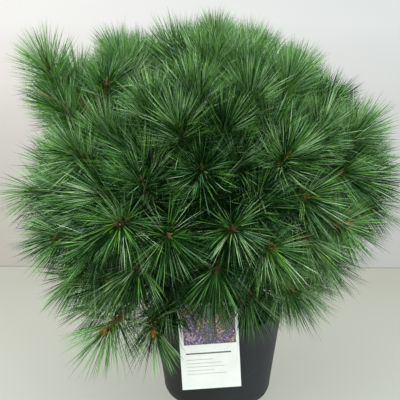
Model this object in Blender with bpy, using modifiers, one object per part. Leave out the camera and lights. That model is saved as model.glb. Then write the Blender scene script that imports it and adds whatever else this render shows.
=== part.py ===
"""A dwarf, globe-shaped white pine in a black nursery pot, with a plant card over the pot's rim.

Metres, +Z up. The origin is the centre of the pot's flat underside and the plant faces -Y.
The trunk rises from the potting soil through the whole crown. Every bough is one tapering limb
that carries one mass of needles, and every mass keeps to its own share of the crown's space.
"""
import math
import random

import bmesh
import bpy
from mathutils import Matrix, Vector
from mathutils.bvhtree import BVHTree
from mathutils.geometry import distance_point_to_plane, intersect_line_line

SEED = 7
GAP = 0.0003
GOLDEN_ANGLE = math.pi * (3.0 - math.sqrt(5.0))
UP = Vector((0.0, 0.0, 1.0))

# Nursery pot: a round tapered wall with a thicker rim band and a rounded foot
POT_HEIGHT = 0.135
RIM_RADIUS = 0.095
RIM_BAND_HEIGHT = 0.018
RIM_BAND_STANDOUT = 0.0016
RIM_THICKNESS = 0.0028
WALL_THICKNESS = 0.0020
SHOULDER_HEIGHT = 0.018
SHOULDER_RADIUS = 0.080
FOOT_RADIUS = 0.069
FLOOR_THICKNESS = 0.0025
BAND_TAPER = 0.0004
BAND_UNDERCUT = 0.001
SHOULDER_TURNS = (0.35, 0.7)
TURN_STEPS = 40
FLOOR_EDGE_INSET = 0.4
DRAIN_NOTCHES = 8
NOTCH_FIRST_TURN = 0.35
NOTCH_WIDTH = 0.011
NOTCH_HEIGHT = 0.007
NOTCH_DEPTH = 0.016

# Potting soil, filled to a little below the rim
SOIL_LEVEL = 0.117

# Plant card, tangent to the rim and shifted along itself, and the clip that hangs it there
CARD_WIDTH = 0.084
CARD_HEIGHT = 0.131
CARD_THICKNESS = 0.0008
CARD_BOTTOM = 0.048
CARD_TURN = math.radians(2.0)
CARD_SHIFT = -0.016
CARD_ROLL = math.radians(-3.3)
CLIP_WIDTH = 0.014
CLIP_THICKNESS = 0.0012
CLIP_OUTER_FOOT = 0.112
CLIP_INNER_FOOT = 0.121

# Trunk: flared at the soil, leaning a little towards the crown's middle
TRUNK_TIP = Vector((0.002, 0.004, 0.445))
TRUNK_RADIUS = 0.0100
TRUNK_FLARE_RADIUS = 0.0165
TRUNK_FLARE_HEIGHT = 0.010
TRUNK_TIP_RADIUS = 0.0026
TRUNK_BOW = 0.010
TRUNK_SECTIONS = 7
FLARE_SECTIONS = (0.0, 0.004, 0.010, 0.022)

# Crown: an ellipsoid on which the spray ends lie, with the needles standing out of it
CROWN_MIDDLE = Vector((-0.016, 0.0, 0.337))
CROWN_RADIUS = 0.208
CROWN_HALF_HEIGHT = 0.152
CROWN_HEART = Vector((-0.018, 0.002, 0.270))

# Boughs leave the trunk one above another, in the order of this list
FIRST_BOUGH_HEIGHT = 0.142
LAST_BOUGH_HEIGHT = 0.415
BOUGH_TO_TRUNK = 0.42
BOUGH_BASE_RADIUS_MIN = 0.0022
BOUGH_TIP_RADIUS = 0.0018
BOUGH_BEND = 0.45
BOUGH_SECTIONS = (0.0, 0.2, 0.42, 0.66, 0.86)

# Name, azimuth from the right-hand side and elevation in degrees, reach as a share of the crown,
# how widely the side sprays spread, and the turn of the first of them in degrees
BOUGHS = [
    ("low_1", 153, -36, 1.11, 0.87, 46),
    ("low_2", 1, -33, 1.03, 0.93, 32),
    ("low_3", -127, -47, 1.44, 0.79, 41),
    ("low_4", 52, -35, 1.06, 0.89, 52),
    ("low_5", -41, -53, 1.07, 0.99, 56),
    ("low_6", 113, -41, 1.02, 1.05, 17),
    ("low_7", -107, -38, 0.94, 0.97, 50),
    ("mid_1", 61, 5, 1.02, 1.03, 1),
    ("mid_2", -152, -22, 1.08, 1.02, 51),
    ("mid_3", 21, -8, 1.16, 1.05, 4),
    ("mid_4", -82, -6, 1.00, 0.98, 34),
    ("mid_5", 175, -11, 1.13, 0.87, 58),
    ("mid_6", -31, -16, 1.00, 0.79, 43),
    ("mid_7", 118, -2, 1.03, 0.93, 13),
    ("upper_1", -59, 23, 0.95, 0.89, 20),
    ("upper_2", 150, 18, 1.06, 1.03, 20),
    ("upper_3", -18, 23, 1.02, 1.05, 7),
    ("upper_4", -145, 19, 0.99, 0.70, 39),
    ("upper_5", 94, 25, 1.03, 1.03, 24),
    ("upper_6", -117, -3, 1.09, 1.02, 71),
    ("upper_7", 23, 29, 0.98, 0.96, 7),
    ("upper_8", 190, 44, 1.40, 0.62, 13),
    ("top_1", -102, 38, 0.99, 1.05, 7),
    ("top_2", 60, 55, 1.01, 1.05, 52),
    ("top_3", 155, 56, 1.11, 1.05, 33),
    ("top_4", -32, 56, 1.01, 1.05, 28),
]
LEADER_RISE = 0.062
LEADER_FIRST_TWIG = 32

# Twigs in one mass, and the sprays of needles at their ends
STEM_LENGTH = 0.075
STEM_END_RADIUS = 0.0016
LEAD_STANDOUT = 0.012
TWIG_RADIUS = 0.0015
TWIG_RISE = 0.030
TWIG_LOWEST_FORK = 0.012
TWIG_SHORTENING = (1.0, 0.85, 0.7, 0.55)
SIDE_SPRAYS = 5
SIDE_SPREAD = 0.056
SIDE_SETBACK = 0.014
INNER_SPRAYS = 1
INNER_SPREAD = 0.042
INNER_SETBACK = 0.058
STEEP = 0.95
UPTURN = 0.25
HIGH_UPTURN = 0.9
HIGH_FROM = 0.36
HIGH_SPAN = 0.10
LOWEST_AXIS = -0.64

# Gaps in the outline of the crown, seen from the front: x, z and radius
SKY_GAPS = [(-0.192, 0.532, 0.020), (-0.085, 0.568, 0.012)]
GAP_STEPS = 8

# Sprays in the solids: a slim core and the needles drawn out of its faces
SPRAY_CORE_RADIUS = 0.0086
SPRAY_CORE_STRETCH = 2.1
NEEDLE_LENGTH = 0.070
NEEDLE_SHORTEST = 0.45
NEEDLE_FORWARD = 0.80
NEEDLE_REARMOST = math.radians(150.0)
NEEDLE_CROSSING = 0.8
NEEDLE_LENGTH_SPREAD = (0.86, 1.06)
LOWEST_NEEDLE = 0.020
CLEARANCE_SAMPLES = 9


def clear_scene():
    """Empty the scene that the script starts in."""
    for old in list(bpy.data.objects):
        bpy.data.objects.remove(old, do_unlink=True)


def new_collection(name, hidden=False):
    """A collection linked to the scene; a hidden one holds cutters only."""
    group = bpy.data.collections.new(name)
    bpy.context.scene.collection.children.link(group)
    group.hide_render = hidden
    return group


def new_material(name, colour, roughness):
    """A Principled material in one plain colour."""
    material = bpy.data.materials.new(name)
    material.use_nodes = True
    shader = material.node_tree.nodes["Principled BSDF"]
    shader.inputs["Base Color"].default_value = (*colour, 1.0)
    shader.inputs["Roughness"].default_value = roughness
    shader.inputs["Metallic"].default_value = 0.0
    material.diffuse_color = (*colour, 1.0)
    return material


def add_object(name, data, group):
    """A named object in one of the script's collections."""
    added = bpy.data.objects.new(name, data)
    group.objects.link(added)
    return added


def add_cutter(name, data, group):
    """An object that only cuts others."""
    cutter = add_object(name, data, group)
    cutter.hide_render = True
    cutter.display_type = "WIRE"
    return cutter


def mesh_from(bm, name):
    """Turn a bmesh into mesh data and free it."""
    mesh = bpy.data.meshes.new(name)
    bm.to_mesh(mesh)
    bm.free()
    return mesh


def evaluated_mesh(source):
    """The mesh of an object with its modifiers applied."""
    bpy.context.view_layer.update()
    depsgraph = bpy.context.evaluated_depsgraph_get()
    return bpy.data.meshes.new_from_object(source.evaluated_get(depsgraph))


def apply_modifiers(target):
    """Keep what the modifiers make and drop the modifiers."""
    made = evaluated_mesh(target)
    target.modifiers.clear()
    target.data = made


def turned(name, profile, group):
    """A round body from a closed (radius, height) profile that runs down its outer side."""
    bm = bmesh.new()
    points = [bm.verts.new((radius, 0.0, height)) for radius, height in profile]
    for start, end in zip(points, points[1:] + points[:1]):
        bm.edges.new((start, end))
    body = add_object(name, mesh_from(bm, name), group)
    screw = body.modifiers.new("turn", "SCREW")
    screw.steps = TURN_STEPS
    screw.render_steps = TURN_STEPS
    screw.use_merge_vertices = True
    screw.merge_threshold = 0.00005
    apply_modifiers(body)
    return body


def pot_inner_profile(clearance):
    """The pot's inner wall from the floor's edge up to the rim band, moved in by a clearance."""
    inset = WALL_THICKNESS + clearance
    floor = FLOOR_THICKNESS + clearance
    band_foot = POT_HEIGHT - RIM_BAND_HEIGHT
    wall_top = RIM_RADIUS - RIM_BAND_STANDOUT
    return [
        (FOOT_RADIUS - inset * FLOOR_EDGE_INSET, floor),
        (SHOULDER_RADIUS - inset, SHOULDER_HEIGHT + clearance),
        (wall_top - inset, band_foot),
    ]


def make_pot(group, cutters):
    """The hollow nursery pot with drainage notches in its rounded foot."""
    band_foot = POT_HEIGHT - RIM_BAND_HEIGHT
    outer = [
        (RIM_RADIUS - RIM_THICKNESS, POT_HEIGHT),
        (RIM_RADIUS, POT_HEIGHT),
        (RIM_RADIUS - BAND_TAPER, band_foot),
        (RIM_RADIUS - RIM_BAND_STANDOUT, band_foot - BAND_UNDERCUT),
        (SHOULDER_RADIUS, SHOULDER_HEIGHT),
    ]
    for share in SHOULDER_TURNS:
        turn = share * math.pi / 2.0
        radius = FOOT_RADIUS + (SHOULDER_RADIUS - FOOT_RADIUS) * math.cos(turn)
        height = SHOULDER_HEIGHT * (1.0 - math.sin(turn))
        outer.append((radius, height))
    outer.append((FOOT_RADIUS, 0.0))
    outer.append((0.0, 0.0))
    inner = [(0.0, FLOOR_THICKNESS)] + pot_inner_profile(0.0)
    pot = turned("pot", outer + inner, group)

    bm = bmesh.new()
    middle_radius = (FOOT_RADIUS + SHOULDER_RADIUS) / 2.0
    for index in range(DRAIN_NOTCHES):
        notch = bmesh.ops.create_cube(bm, size=1.0)["verts"]
        bmesh.ops.scale(bm, verts=notch, vec=(NOTCH_DEPTH, NOTCH_WIDTH, NOTCH_HEIGHT))
        bmesh.ops.translate(bm, verts=notch, vec=(middle_radius, 0.0, NOTCH_HEIGHT))
        turn = math.tau * (index + NOTCH_FIRST_TURN) / DRAIN_NOTCHES
        bmesh.ops.rotate(bm, verts=notch, cent=(0.0, 0.0, 0.0), matrix=rotation(UP, turn))
    notches = add_cutter("drain_notches", mesh_from(bm, "drain_notches"), cutters)
    cut = pot.modifiers.new("drain", "BOOLEAN")
    cut.operation = "DIFFERENCE"
    cut.object = notches
    pot.data.materials.append(new_material("pot_plastic", (0.040, 0.044, 0.045), 0.55))
    return pot


def rotation(axis, angle):
    """A 3x3 rotation about an axis."""
    return Matrix.Rotation(angle, 3, axis)


def make_soil(group):
    """The potting soil, which fills the pot and stays clear of its wall and floor."""
    floor_edge, shoulder, wall_top = pot_inner_profile(GAP)
    slope = (wall_top[0] - shoulder[0]) / (wall_top[1] - shoulder[1])
    top_radius = shoulder[0] + slope * (SOIL_LEVEL - shoulder[1])
    profile = [(0.0, SOIL_LEVEL), (top_radius, SOIL_LEVEL), shoulder, floor_edge]
    profile.append((0.0, FLOOR_THICKNESS + GAP))
    soil = turned("soil", profile, group)
    soil.data.materials.append(new_material("potting_soil", (0.022, 0.017, 0.013), 0.95))
    return soil


def make_card(group):
    """The blank plant card, upright in front of the rim, and the clip that hooks over the rim."""
    card_back = RIM_RADIUS + GAP + CLIP_THICKNESS + GAP
    bm = bmesh.new()
    bmesh.ops.create_cube(bm, size=1.0)
    bmesh.ops.scale(bm, verts=bm.verts, vec=(CARD_WIDTH, CARD_THICKNESS, CARD_HEIGHT))
    card = add_object("label_card", mesh_from(bm, "label_card"), group)
    front = Vector((math.sin(CARD_TURN), -math.cos(CARD_TURN), 0.0))
    across = Vector((math.cos(CARD_TURN), math.sin(CARD_TURN), 0.0))
    card.location = front * (card_back + CARD_THICKNESS / 2.0) + across * CARD_SHIFT
    card.location.z = CARD_BOTTOM + CARD_HEIGHT / 2.0
    card.rotation_euler = (0.0, CARD_ROLL, CARD_TURN)
    card.data.materials.append(new_material("card_white", (0.85, 0.88, 0.86), 0.45))

    rim_inner = (RIM_RADIUS - RIM_BAND_STANDOUT - WALL_THICKNESS) * math.cos(math.pi / TURN_STEPS)
    edge_sag = rim_inner - math.sqrt(rim_inner ** 2 - (CLIP_WIDTH / 2.0) ** 2)
    outer_near = RIM_RADIUS + GAP
    outer_far = outer_near + CLIP_THICKNESS
    inner_far = rim_inner - edge_sag - GAP
    inner_near = inner_far - CLIP_THICKNESS
    under = POT_HEIGHT + GAP
    over = under + CLIP_THICKNESS
    outline = [
        (outer_far, CLIP_OUTER_FOOT), (outer_far, over), (inner_near, over),
        (inner_near, CLIP_INNER_FOOT), (inner_far, CLIP_INNER_FOOT), (inner_far, under),
        (outer_near, under), (outer_near, CLIP_OUTER_FOOT),
    ]
    curve = bpy.data.curves.new("label_clip", "CURVE")
    curve.dimensions = "2D"
    curve.fill_mode = "BOTH"
    curve.extrude = CLIP_WIDTH / 2.0
    spline = curve.splines.new("POLY")
    spline.points.add(len(outline) - 1)
    spline.use_cyclic_u = True
    for point, (out, height) in zip(spline.points, outline):
        point.co = (out, height, 0.0, 1.0)
    flat = add_object("label_clip_outline", curve, group)
    flat.rotation_euler = (math.pi / 2.0, 0.0, CARD_TURN - math.pi / 2.0)
    clip = mesh_object_from_curve("label_clip", flat, group)
    clip.data.materials.append(new_material("clip_white", (0.75, 0.78, 0.76), 0.45))
    return card, clip


def mesh_object_from_curve(name, source, group):
    """Replace a curve object by a mesh object with welded caps."""
    mesh = evaluated_mesh(source)
    mesh.materials.clear()
    bm = bmesh.new()
    bm.from_mesh(mesh)
    bmesh.ops.remove_doubles(bm, verts=bm.verts, dist=0.00001)
    bmesh.ops.recalc_face_normals(bm, faces=bm.faces)
    bm.to_mesh(mesh)
    bm.free()
    made = add_object(name, mesh, group)
    made.matrix_world = source.matrix_world.copy()
    bpy.data.objects.remove(source, do_unlink=True)
    return made


def make_limb(name, points, radii, sides_level, group):
    """One tapering limb through the points."""
    curve = bpy.data.curves.new(name, "CURVE")
    curve.dimensions = "3D"
    curve.bevel_depth = 1.0
    curve.bevel_resolution = sides_level
    curve.use_fill_caps = True
    spline = curve.splines.new("POLY")
    spline.points.add(len(points) - 1)
    for point, place, radius in zip(spline.points, points, radii):
        point.co = (*place, 1.0)
        point.radius = radius
    return mesh_object_from_curve(name, add_object(name + "_path", curve, group), group)


def trunk_point(height):
    """The middle of the trunk at a height above the pot's underside."""
    share = (height - SOIL_LEVEL) / (TRUNK_TIP.z - SOIL_LEVEL)
    bow = TRUNK_BOW * math.sin(math.pi * share)
    return Vector((TRUNK_TIP.x * share + bow, TRUNK_TIP.y * share, height))


def trunk_radius(height):
    """The trunk's radius at a height: a steady taper with a flare at the soil."""
    share = (height - SOIL_LEVEL) / (TRUNK_TIP.z - SOIL_LEVEL)
    taper = TRUNK_RADIUS + (TRUNK_TIP_RADIUS - TRUNK_RADIUS) * share
    flare = math.exp(-(height - SOIL_LEVEL) / TRUNK_FLARE_HEIGHT)
    return taper + (TRUNK_FLARE_RADIUS - TRUNK_RADIUS) * flare


def trunk_heights():
    """Heights at which the trunk's sections stand, closer together in the flare."""
    foot = SOIL_LEVEL + GAP
    heights = [foot + rise for rise in FLARE_SECTIONS]
    flare_top = heights[-1]
    for index in range(1, TRUNK_SECTIONS + 1):
        heights.append(flare_top + (TRUNK_TIP.z - flare_top) * index / TRUNK_SECTIONS)
    return heights


def make_trunk(group, cutters):
    """The trunk, and a copy grown by the gap that trims the boughs."""
    heights = trunk_heights()
    points = [trunk_point(height) for height in heights]
    points[1].xy = points[0].xy
    radii = [trunk_radius(height) for height in heights]
    trunk = make_limb("trunk", points, radii, 2, group)
    trunk.data.materials.append(new_material("bark_trunk", (0.105, 0.072, 0.050), 0.9))
    grown = make_limb("trunk_clearance", points, [radius + GAP for radius in radii], 2, cutters)
    grown.hide_render = True
    grown.display_type = "WIRE"
    return trunk, grown


def crown_point(azimuth, elevation, reach):
    """A place on the crown's ellipsoid; the angles are in degrees."""
    turn = math.radians(azimuth)
    rise = math.radians(elevation)
    level = CROWN_RADIUS * math.cos(rise)
    offset = Vector((
        level * math.cos(turn),
        level * math.sin(turn),
        CROWN_HALF_HEIGHT * math.sin(rise),
    ))
    return CROWN_MIDDLE + offset * reach


def bough_path(start, end, heading):
    """Points from the trunk's middle to the bough's end, which comes in along its heading."""
    run = (end - start).length
    bend = end - heading * run * BOUGH_BEND
    path = []
    for share in BOUGH_SECTIONS:
        leg_a = start.lerp(bend, share)
        leg_b = bend.lerp(end, share)
        path.append(leg_a.lerp(leg_b, share))
    path.append(end)
    return path


def make_bough(name, start_height, end, heading, trunk_clearance, group):
    """One bough, trimmed where it meets the trunk."""
    start = trunk_point(start_height)
    path = bough_path(start, end, heading)
    base_radius = max(BOUGH_TO_TRUNK * trunk_radius(start_height), BOUGH_BASE_RADIUS_MIN)
    radii = []
    for index in range(len(path)):
        share = index / (len(path) - 1)
        radii.append(base_radius + (BOUGH_TIP_RADIUS - base_radius) * share)
    bough = make_limb(name, path, radii, 1, group)
    trim = bough.modifiers.new("trim", "BOOLEAN")
    trim.operation = "DIFFERENCE"
    trim.object = trunk_clearance
    apply_modifiers(bough)
    bough.data.materials.append(new_material("bark_" + name, (0.120, 0.085, 0.058), 0.9))
    tip_direction = (path[-1] - path[-2]).normalized()
    return bough, tip_direction


def obstacle_tree(solids):
    """One search tree over all the solids that needles and twigs must miss."""
    vertices = []
    faces = []
    for solid in solids:
        mesh = evaluated_mesh(solid)
        first = len(vertices)
        vertices.extend(solid.matrix_world @ vertex.co for vertex in mesh.vertices)
        faces.extend([first + index for index in face.vertices] for face in mesh.polygons)
        bpy.data.meshes.remove(mesh)
    return BVHTree.FromPolygons(vertices, faces)


def share_planes(seed_points, own):
    """The planes half way to the other masses, which bound one mass's own space."""
    planes = []
    here = seed_points[own]
    for index, other in enumerate(seed_points):
        if index != own:
            away = (other - here).normalized()
            middle = (here + other) / 2.0 - away * GAP
            planes.append((middle, away))
    return planes


def in_space(points, planes):
    """Whether all the points are on the mass's own side of every plane."""
    for point in points:
        for middle, away in planes:
            if distance_point_to_plane(point, middle, away) > 0.0:
                return False
    return True


def free_length(start, direction, wanted, planes):
    """How far a needle can go before it leaves the mass's own space."""
    length = wanted
    for middle, away in planes:
        speed = direction.dot(away)
        if speed > 1e-6:
            length = min(length, (middle - start).dot(away) / speed)
    return length


def misses_limbs(start, end, radius_start, radius_end, obstacles):
    """Whether a tapering rod from start to end stays clear of every limb, the pot and the card."""
    line = end - start
    if obstacles.ray_cast(start, line.normalized(), line.length + GAP)[0] is not None:
        return False
    for index in range(CLEARANCE_SAMPLES):
        share = index / (CLEARANCE_SAMPLES - 1)
        radius = radius_start + (radius_end - radius_start) * share
        distance = obstacles.find_nearest(start.lerp(end, share))[3]
        if distance is not None and distance < radius + GAP * 2.0:
            return False
    return True


def crosses(new, old):
    """Whether two needles, each given as base, tip and base radius, run into each other."""
    nearest = intersect_line_line(new[0], new[1], old[0], old[1])
    if nearest is None:
        return False
    room = 0.0
    for place, (base, tip, radius) in zip(nearest, (new, old)):
        line = tip - base
        share = (place - base).dot(line) / line.length_squared
        if not 0.0 < share < 1.0:
            return False
        room += radius * (1.0 - share)
    return (nearest[0] - nearest[1]).length < room * NEEDLE_CROSSING


def make_rod(start, end, radius_start, radius_end):
    """A three-sided tapering twig as a bmesh."""
    line = end - start
    bm = bmesh.new()
    rod = bmesh.ops.create_cone(
        bm, cap_ends=True, segments=3, radius1=radius_start, radius2=radius_end,
        depth=line.length)["verts"]
    turn = UP.rotation_difference(line.normalized()).to_matrix()
    bmesh.ops.rotate(bm, verts=rod, cent=(0.0, 0.0, 0.0), matrix=turn)
    bmesh.ops.translate(bm, verts=rod, vec=(start + end) / 2.0)
    return bm


def make_spray(place, axis, planes, obstacles, grown, rng):
    """A slim core with needles drawn out of its faces, or None where the core has no room.

    The needles join the list of those already grown in the mass, and none crosses another.
    """
    bm = bmesh.new()
    bmesh.ops.create_icosphere(bm, subdivisions=1, radius=SPRAY_CORE_RADIUS)
    spin = rotation(UP, rng.uniform(0.0, math.tau))
    tumble = rotation(Vector((1.0, 0.0, 0.0)), rng.uniform(0.0, math.tau))
    turn = UP.rotation_difference(axis).to_matrix()
    for vertex in bm.verts:
        local = spin @ tumble @ vertex.co
        local.z *= SPRAY_CORE_STRETCH
        vertex.co = place + turn @ local
    half_core = axis * SPRAY_CORE_RADIUS * (SPRAY_CORE_STRETCH - 1.0)
    core_clear = misses_limbs(
        place - half_core, place + half_core, SPRAY_CORE_RADIUS, SPRAY_CORE_RADIUS, obstacles)
    if not core_clear or not in_space([vertex.co for vertex in bm.verts], planes):
        bm.free()
        return None

    needles = []
    for face in bm.faces:
        middle = face.calc_center_median()
        outward = (middle - place).normalized()
        polar = outward.angle(axis)
        if polar > NEEDLE_REARMOST:
            continue
        across = outward - axis * outward.dot(axis)
        across.normalize()
        lean = polar * NEEDLE_FORWARD
        heading = axis * math.cos(lean) + across * math.sin(lean)
        wanted = NEEDLE_LENGTH * rng.uniform(*NEEDLE_LENGTH_SPREAD)
        length = free_length(middle, heading, wanted, planes)
        if length < NEEDLE_LENGTH * NEEDLE_SHORTEST:
            continue
        tip = middle + heading * length
        spread = max((vertex.co - middle).length for vertex in face.verts)
        needle = (middle, tip, spread)
        if any(crosses(needle, other) for other in grown):
            continue
        if tip.z > LOWEST_NEEDLE and misses_limbs(middle, tip, spread, 0.0, obstacles):
            needles.append((face, tip))
            grown.append(needle)
    for face, tip in needles:
        drawn = bmesh.ops.poke(bm, faces=[face])["verts"][0]
        drawn.co = tip
    return bm


def fuse(name, base, others, group):
    """Join a mass's twigs and sprays into one body with one Boolean union."""
    body = add_object(name, mesh_from(base, name), group)
    gathered = bpy.data.collections.new(name + "_pieces")
    bpy.context.scene.collection.children.link(gathered)
    pieces = []
    for index, bm in enumerate(others):
        piece_name = f"{name}_piece_{index}"
        pieces.append(add_object(piece_name, mesh_from(bm, piece_name), gathered))
    join = body.modifiers.new("join", "BOOLEAN")
    join.operation = "UNION"
    join.operand_type = "COLLECTION"
    join.collection = gathered
    join.solver = "MANIFOLD"
    apply_modifiers(body)
    for piece in pieces:
        bpy.data.objects.remove(piece, do_unlink=True)
    bpy.data.collections.remove(gathered)
    return body


def island_of(start):
    """All the faces that hang together with one face."""
    found = {start}
    waiting = [start]
    while waiting:
        face = waiting.pop()
        for edge in face.edges:
            for neighbour in edge.link_faces:
                if neighbour not in found:
                    found.add(neighbour)
                    waiting.append(neighbour)
    return found


def keep_main_body(target):
    """Drop loose scraps and fill sealed hollows: only the largest island of faces stays."""
    bm = bmesh.new()
    bm.from_mesh(target.data)
    bmesh.ops.triangulate(bm, faces=bm.faces)
    left = set(bm.faces)
    islands = []
    while left:
        island = island_of(next(iter(left)))
        left -= island
        islands.append(island)
    islands.sort(key=len)
    for island in islands[:-1]:
        bmesh.ops.delete(bm, geom=list(island), context="FACES")
    bm.to_mesh(target.data)
    bm.free()


def lifted(axis, place):
    """A spray's axis, turned up the more the higher it stands in the crown."""
    rise = min(max((place.z - HIGH_FROM) / HIGH_SPAN, 0.0), 1.0)
    return (axis + UP * (HIGH_UPTURN * rise)).normalized()


def in_sky_gap(place, axis):
    """Whether a spray would stand in one of the gaps in the crown's outline."""
    for step in range(GAP_STEPS + 1):
        point = place + axis * (NEEDLE_LENGTH * step / GAP_STEPS)
        for x, z, radius in SKY_GAPS:
            if math.hypot(point.x - x, point.z - z) < radius:
                return True
    return False


def spray_places(plan):
    """Where the side sprays of one mass stand: a whorl round the leading one, and inner ones."""
    seed_point = plan["seed_point"]
    outward = plan["outward"]
    openness = plan["openness"]
    rng = random.Random(f"{SEED} {plan['name']}")
    level = UP if abs(outward.z) < STEEP else Vector((0.0, 1.0, 0.0))
    side = level.cross(outward).normalized()
    other_side = outward.cross(side)
    first = math.radians(plan["first_twig"])
    places = []
    for index in range(SIDE_SPRAYS):
        turn = first + math.tau * index / SIDE_SPRAYS + rng.uniform(-0.2, 0.2)
        across = side * math.cos(turn) + other_side * math.sin(turn)
        spread = SIDE_SPREAD * openness * rng.uniform(0.88, 1.08)
        setback = SIDE_SETBACK + SIDE_SPREAD * (1.0 - openness)
        place = seed_point + across * spread - outward * setback
        axis = (outward * 0.80 + across * 0.62 + UP * UPTURN).normalized()
        axis = lifted(axis, place)
        if axis.z > LOWEST_AXIS and not in_sky_gap(place, axis):
            places.append((place, axis))
    for index in range(INNER_SPRAYS):
        turn = first + GOLDEN_ANGLE * (index + 0.5)
        across = side * math.cos(turn) + other_side * math.sin(turn)
        place = seed_point + across * INNER_SPREAD - outward * INNER_SETBACK
        axis = (outward * 0.35 + across * 0.95).normalized()
        places.append((place, axis))
    return places


def make_mass(plan, planes, obstacles, rng, group):
    """One mass of foliage: a stem, side twigs by a seeded rule, and a spray on each end."""
    name = "needles_" + plan["name"]
    seed_point = plan["seed_point"]
    outward = plan["outward"]
    stem_start = plan["stem_start"]
    lead = seed_point + outward * LEAD_STANDOUT
    stem = make_rod(stem_start + outward * GAP, lead, plan["stem_radius"], STEM_END_RADIUS)
    pieces = []
    grown = []
    lead_axis = lifted(outward, lead)
    lead_spray = make_spray(lead, lead_axis, planes, obstacles, grown, rng)
    if lead_spray:
        pieces.append(lead_spray)
    for place, axis in spray_places(plan):
        along = max((place - stem_start).dot(outward) - TWIG_RISE, TWIG_LOWEST_FORK)
        fork = stem_start + outward * along
        for share in TWIG_SHORTENING:
            end = fork.lerp(place, share)
            if not in_space([end], planes):
                continue
            if not misses_limbs(fork.lerp(end, 0.25), end, TWIG_RADIUS, TWIG_RADIUS, obstacles):
                continue
            spray = make_spray(end, axis, planes, obstacles, grown, rng)
            if spray:
                pieces.append(make_rod(fork, end, TWIG_RADIUS, TWIG_RADIUS))
                pieces.append(spray)
                break
    mass = fuse(name, stem, pieces, group)
    keep_main_body(mass)
    mass.data.materials.append(new_material(name + "_green", (0.050, 0.125, 0.045), 0.6))
    return mass


def main():
    """Build the potted pine."""
    clear_scene()
    group = new_collection("potted_white_pine")
    cutters = new_collection("cutters", hidden=True)
    pot = make_pot(group, cutters)
    soil = make_soil(group)
    card, clip = make_card(group)
    trunk, trunk_clearance = make_trunk(group, cutters)

    limbs = [trunk]
    plans = []
    step = (LAST_BOUGH_HEIGHT - FIRST_BOUGH_HEIGHT) / (len(BOUGHS) - 1)
    for index, (name, azimuth, elevation, reach, openness, first_twig) in enumerate(BOUGHS):
        seed_point = crown_point(azimuth, elevation, reach)
        outward = (seed_point - CROWN_HEART).normalized()
        bough_end = seed_point - outward * STEM_LENGTH
        height = FIRST_BOUGH_HEIGHT + step * index
        bough, tip_direction = make_bough(
            "bough_" + name, height, bough_end, outward, trunk_clearance, group)
        limbs.append(bough)
        plans.append({
            "name": name, "seed_point": seed_point, "outward": tip_direction,
            "stem_start": bough_end, "stem_radius": BOUGH_TIP_RADIUS, "openness": openness,
            "first_twig": first_twig,
        })
    leader_direction = (TRUNK_TIP - trunk_point(trunk_heights()[-2])).normalized()
    plans.append({
        "name": "leader", "seed_point": TRUNK_TIP + leader_direction * LEADER_RISE,
        "outward": leader_direction, "stem_start": TRUNK_TIP, "stem_radius": TRUNK_TIP_RADIUS,
        "openness": 1.0, "first_twig": LEADER_FIRST_TWIG,
    })

    obstacles = obstacle_tree(limbs + [pot, soil, card, clip])
    seed_points = [plan["seed_point"] for plan in plans]
    for index, plan in enumerate(plans):
        rng = random.Random(SEED * 100 + index)
        make_mass(plan, share_planes(seed_points, index), obstacles, rng, group)


main()
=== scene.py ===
"""Looks of a dwarf white pine in a nursery pot: needles, buds, bark, soil, pot and plant card."""
import math
import random

import bmesh
import bpy
import numpy as np
from mathutils import Matrix, Vector, noise


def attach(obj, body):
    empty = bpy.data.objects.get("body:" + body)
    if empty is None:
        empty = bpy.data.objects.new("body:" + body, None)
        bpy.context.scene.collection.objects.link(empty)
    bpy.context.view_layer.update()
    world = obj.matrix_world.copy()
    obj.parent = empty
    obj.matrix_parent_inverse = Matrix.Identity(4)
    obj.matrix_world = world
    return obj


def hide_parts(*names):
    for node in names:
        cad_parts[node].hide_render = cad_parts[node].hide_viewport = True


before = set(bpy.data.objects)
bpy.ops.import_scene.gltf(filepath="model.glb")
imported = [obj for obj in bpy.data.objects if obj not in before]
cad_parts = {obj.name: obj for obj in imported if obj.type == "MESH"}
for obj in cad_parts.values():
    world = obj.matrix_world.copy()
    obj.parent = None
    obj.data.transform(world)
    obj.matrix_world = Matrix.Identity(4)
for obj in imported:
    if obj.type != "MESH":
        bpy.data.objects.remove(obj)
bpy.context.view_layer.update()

UP = Vector((0.0, 0.0, 1.0))

# Camera at the photograph's viewing angle
CAMERA_PLACE = (-0.026, -1.466, 0.72)
CAMERA_PITCH = math.radians(16.0)
SENSOR_WIDTH = 36.0
FOCAL_PIXELS = 1050.0
FRAME_PIXELS = 400.0

# Soft lights: where each comes from, its strength, its width in degrees and its colour
KEY_SUN = ((-0.3, -0.75, 1.9), 5.2, 28.0, (1.0, 1.0, 0.97))
FILL_SUN = ((0.2, -1.6, 0.4), 1.7, 80.0, (0.97, 1.0, 1.0))
TABLE_SUN = ((0.0, -0.3, 1.9), 3.24, 120.0, (1.0, 1.0, 0.99))
CARD_SUN = ((0.1, -1.6, 0.9), 1.05, 60.0, (1.0, 1.0, 1.0))
SKY_COLOUR = (0.95, 0.97, 1.0, 1.0)
SKY_STRENGTH = 0.38

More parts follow.
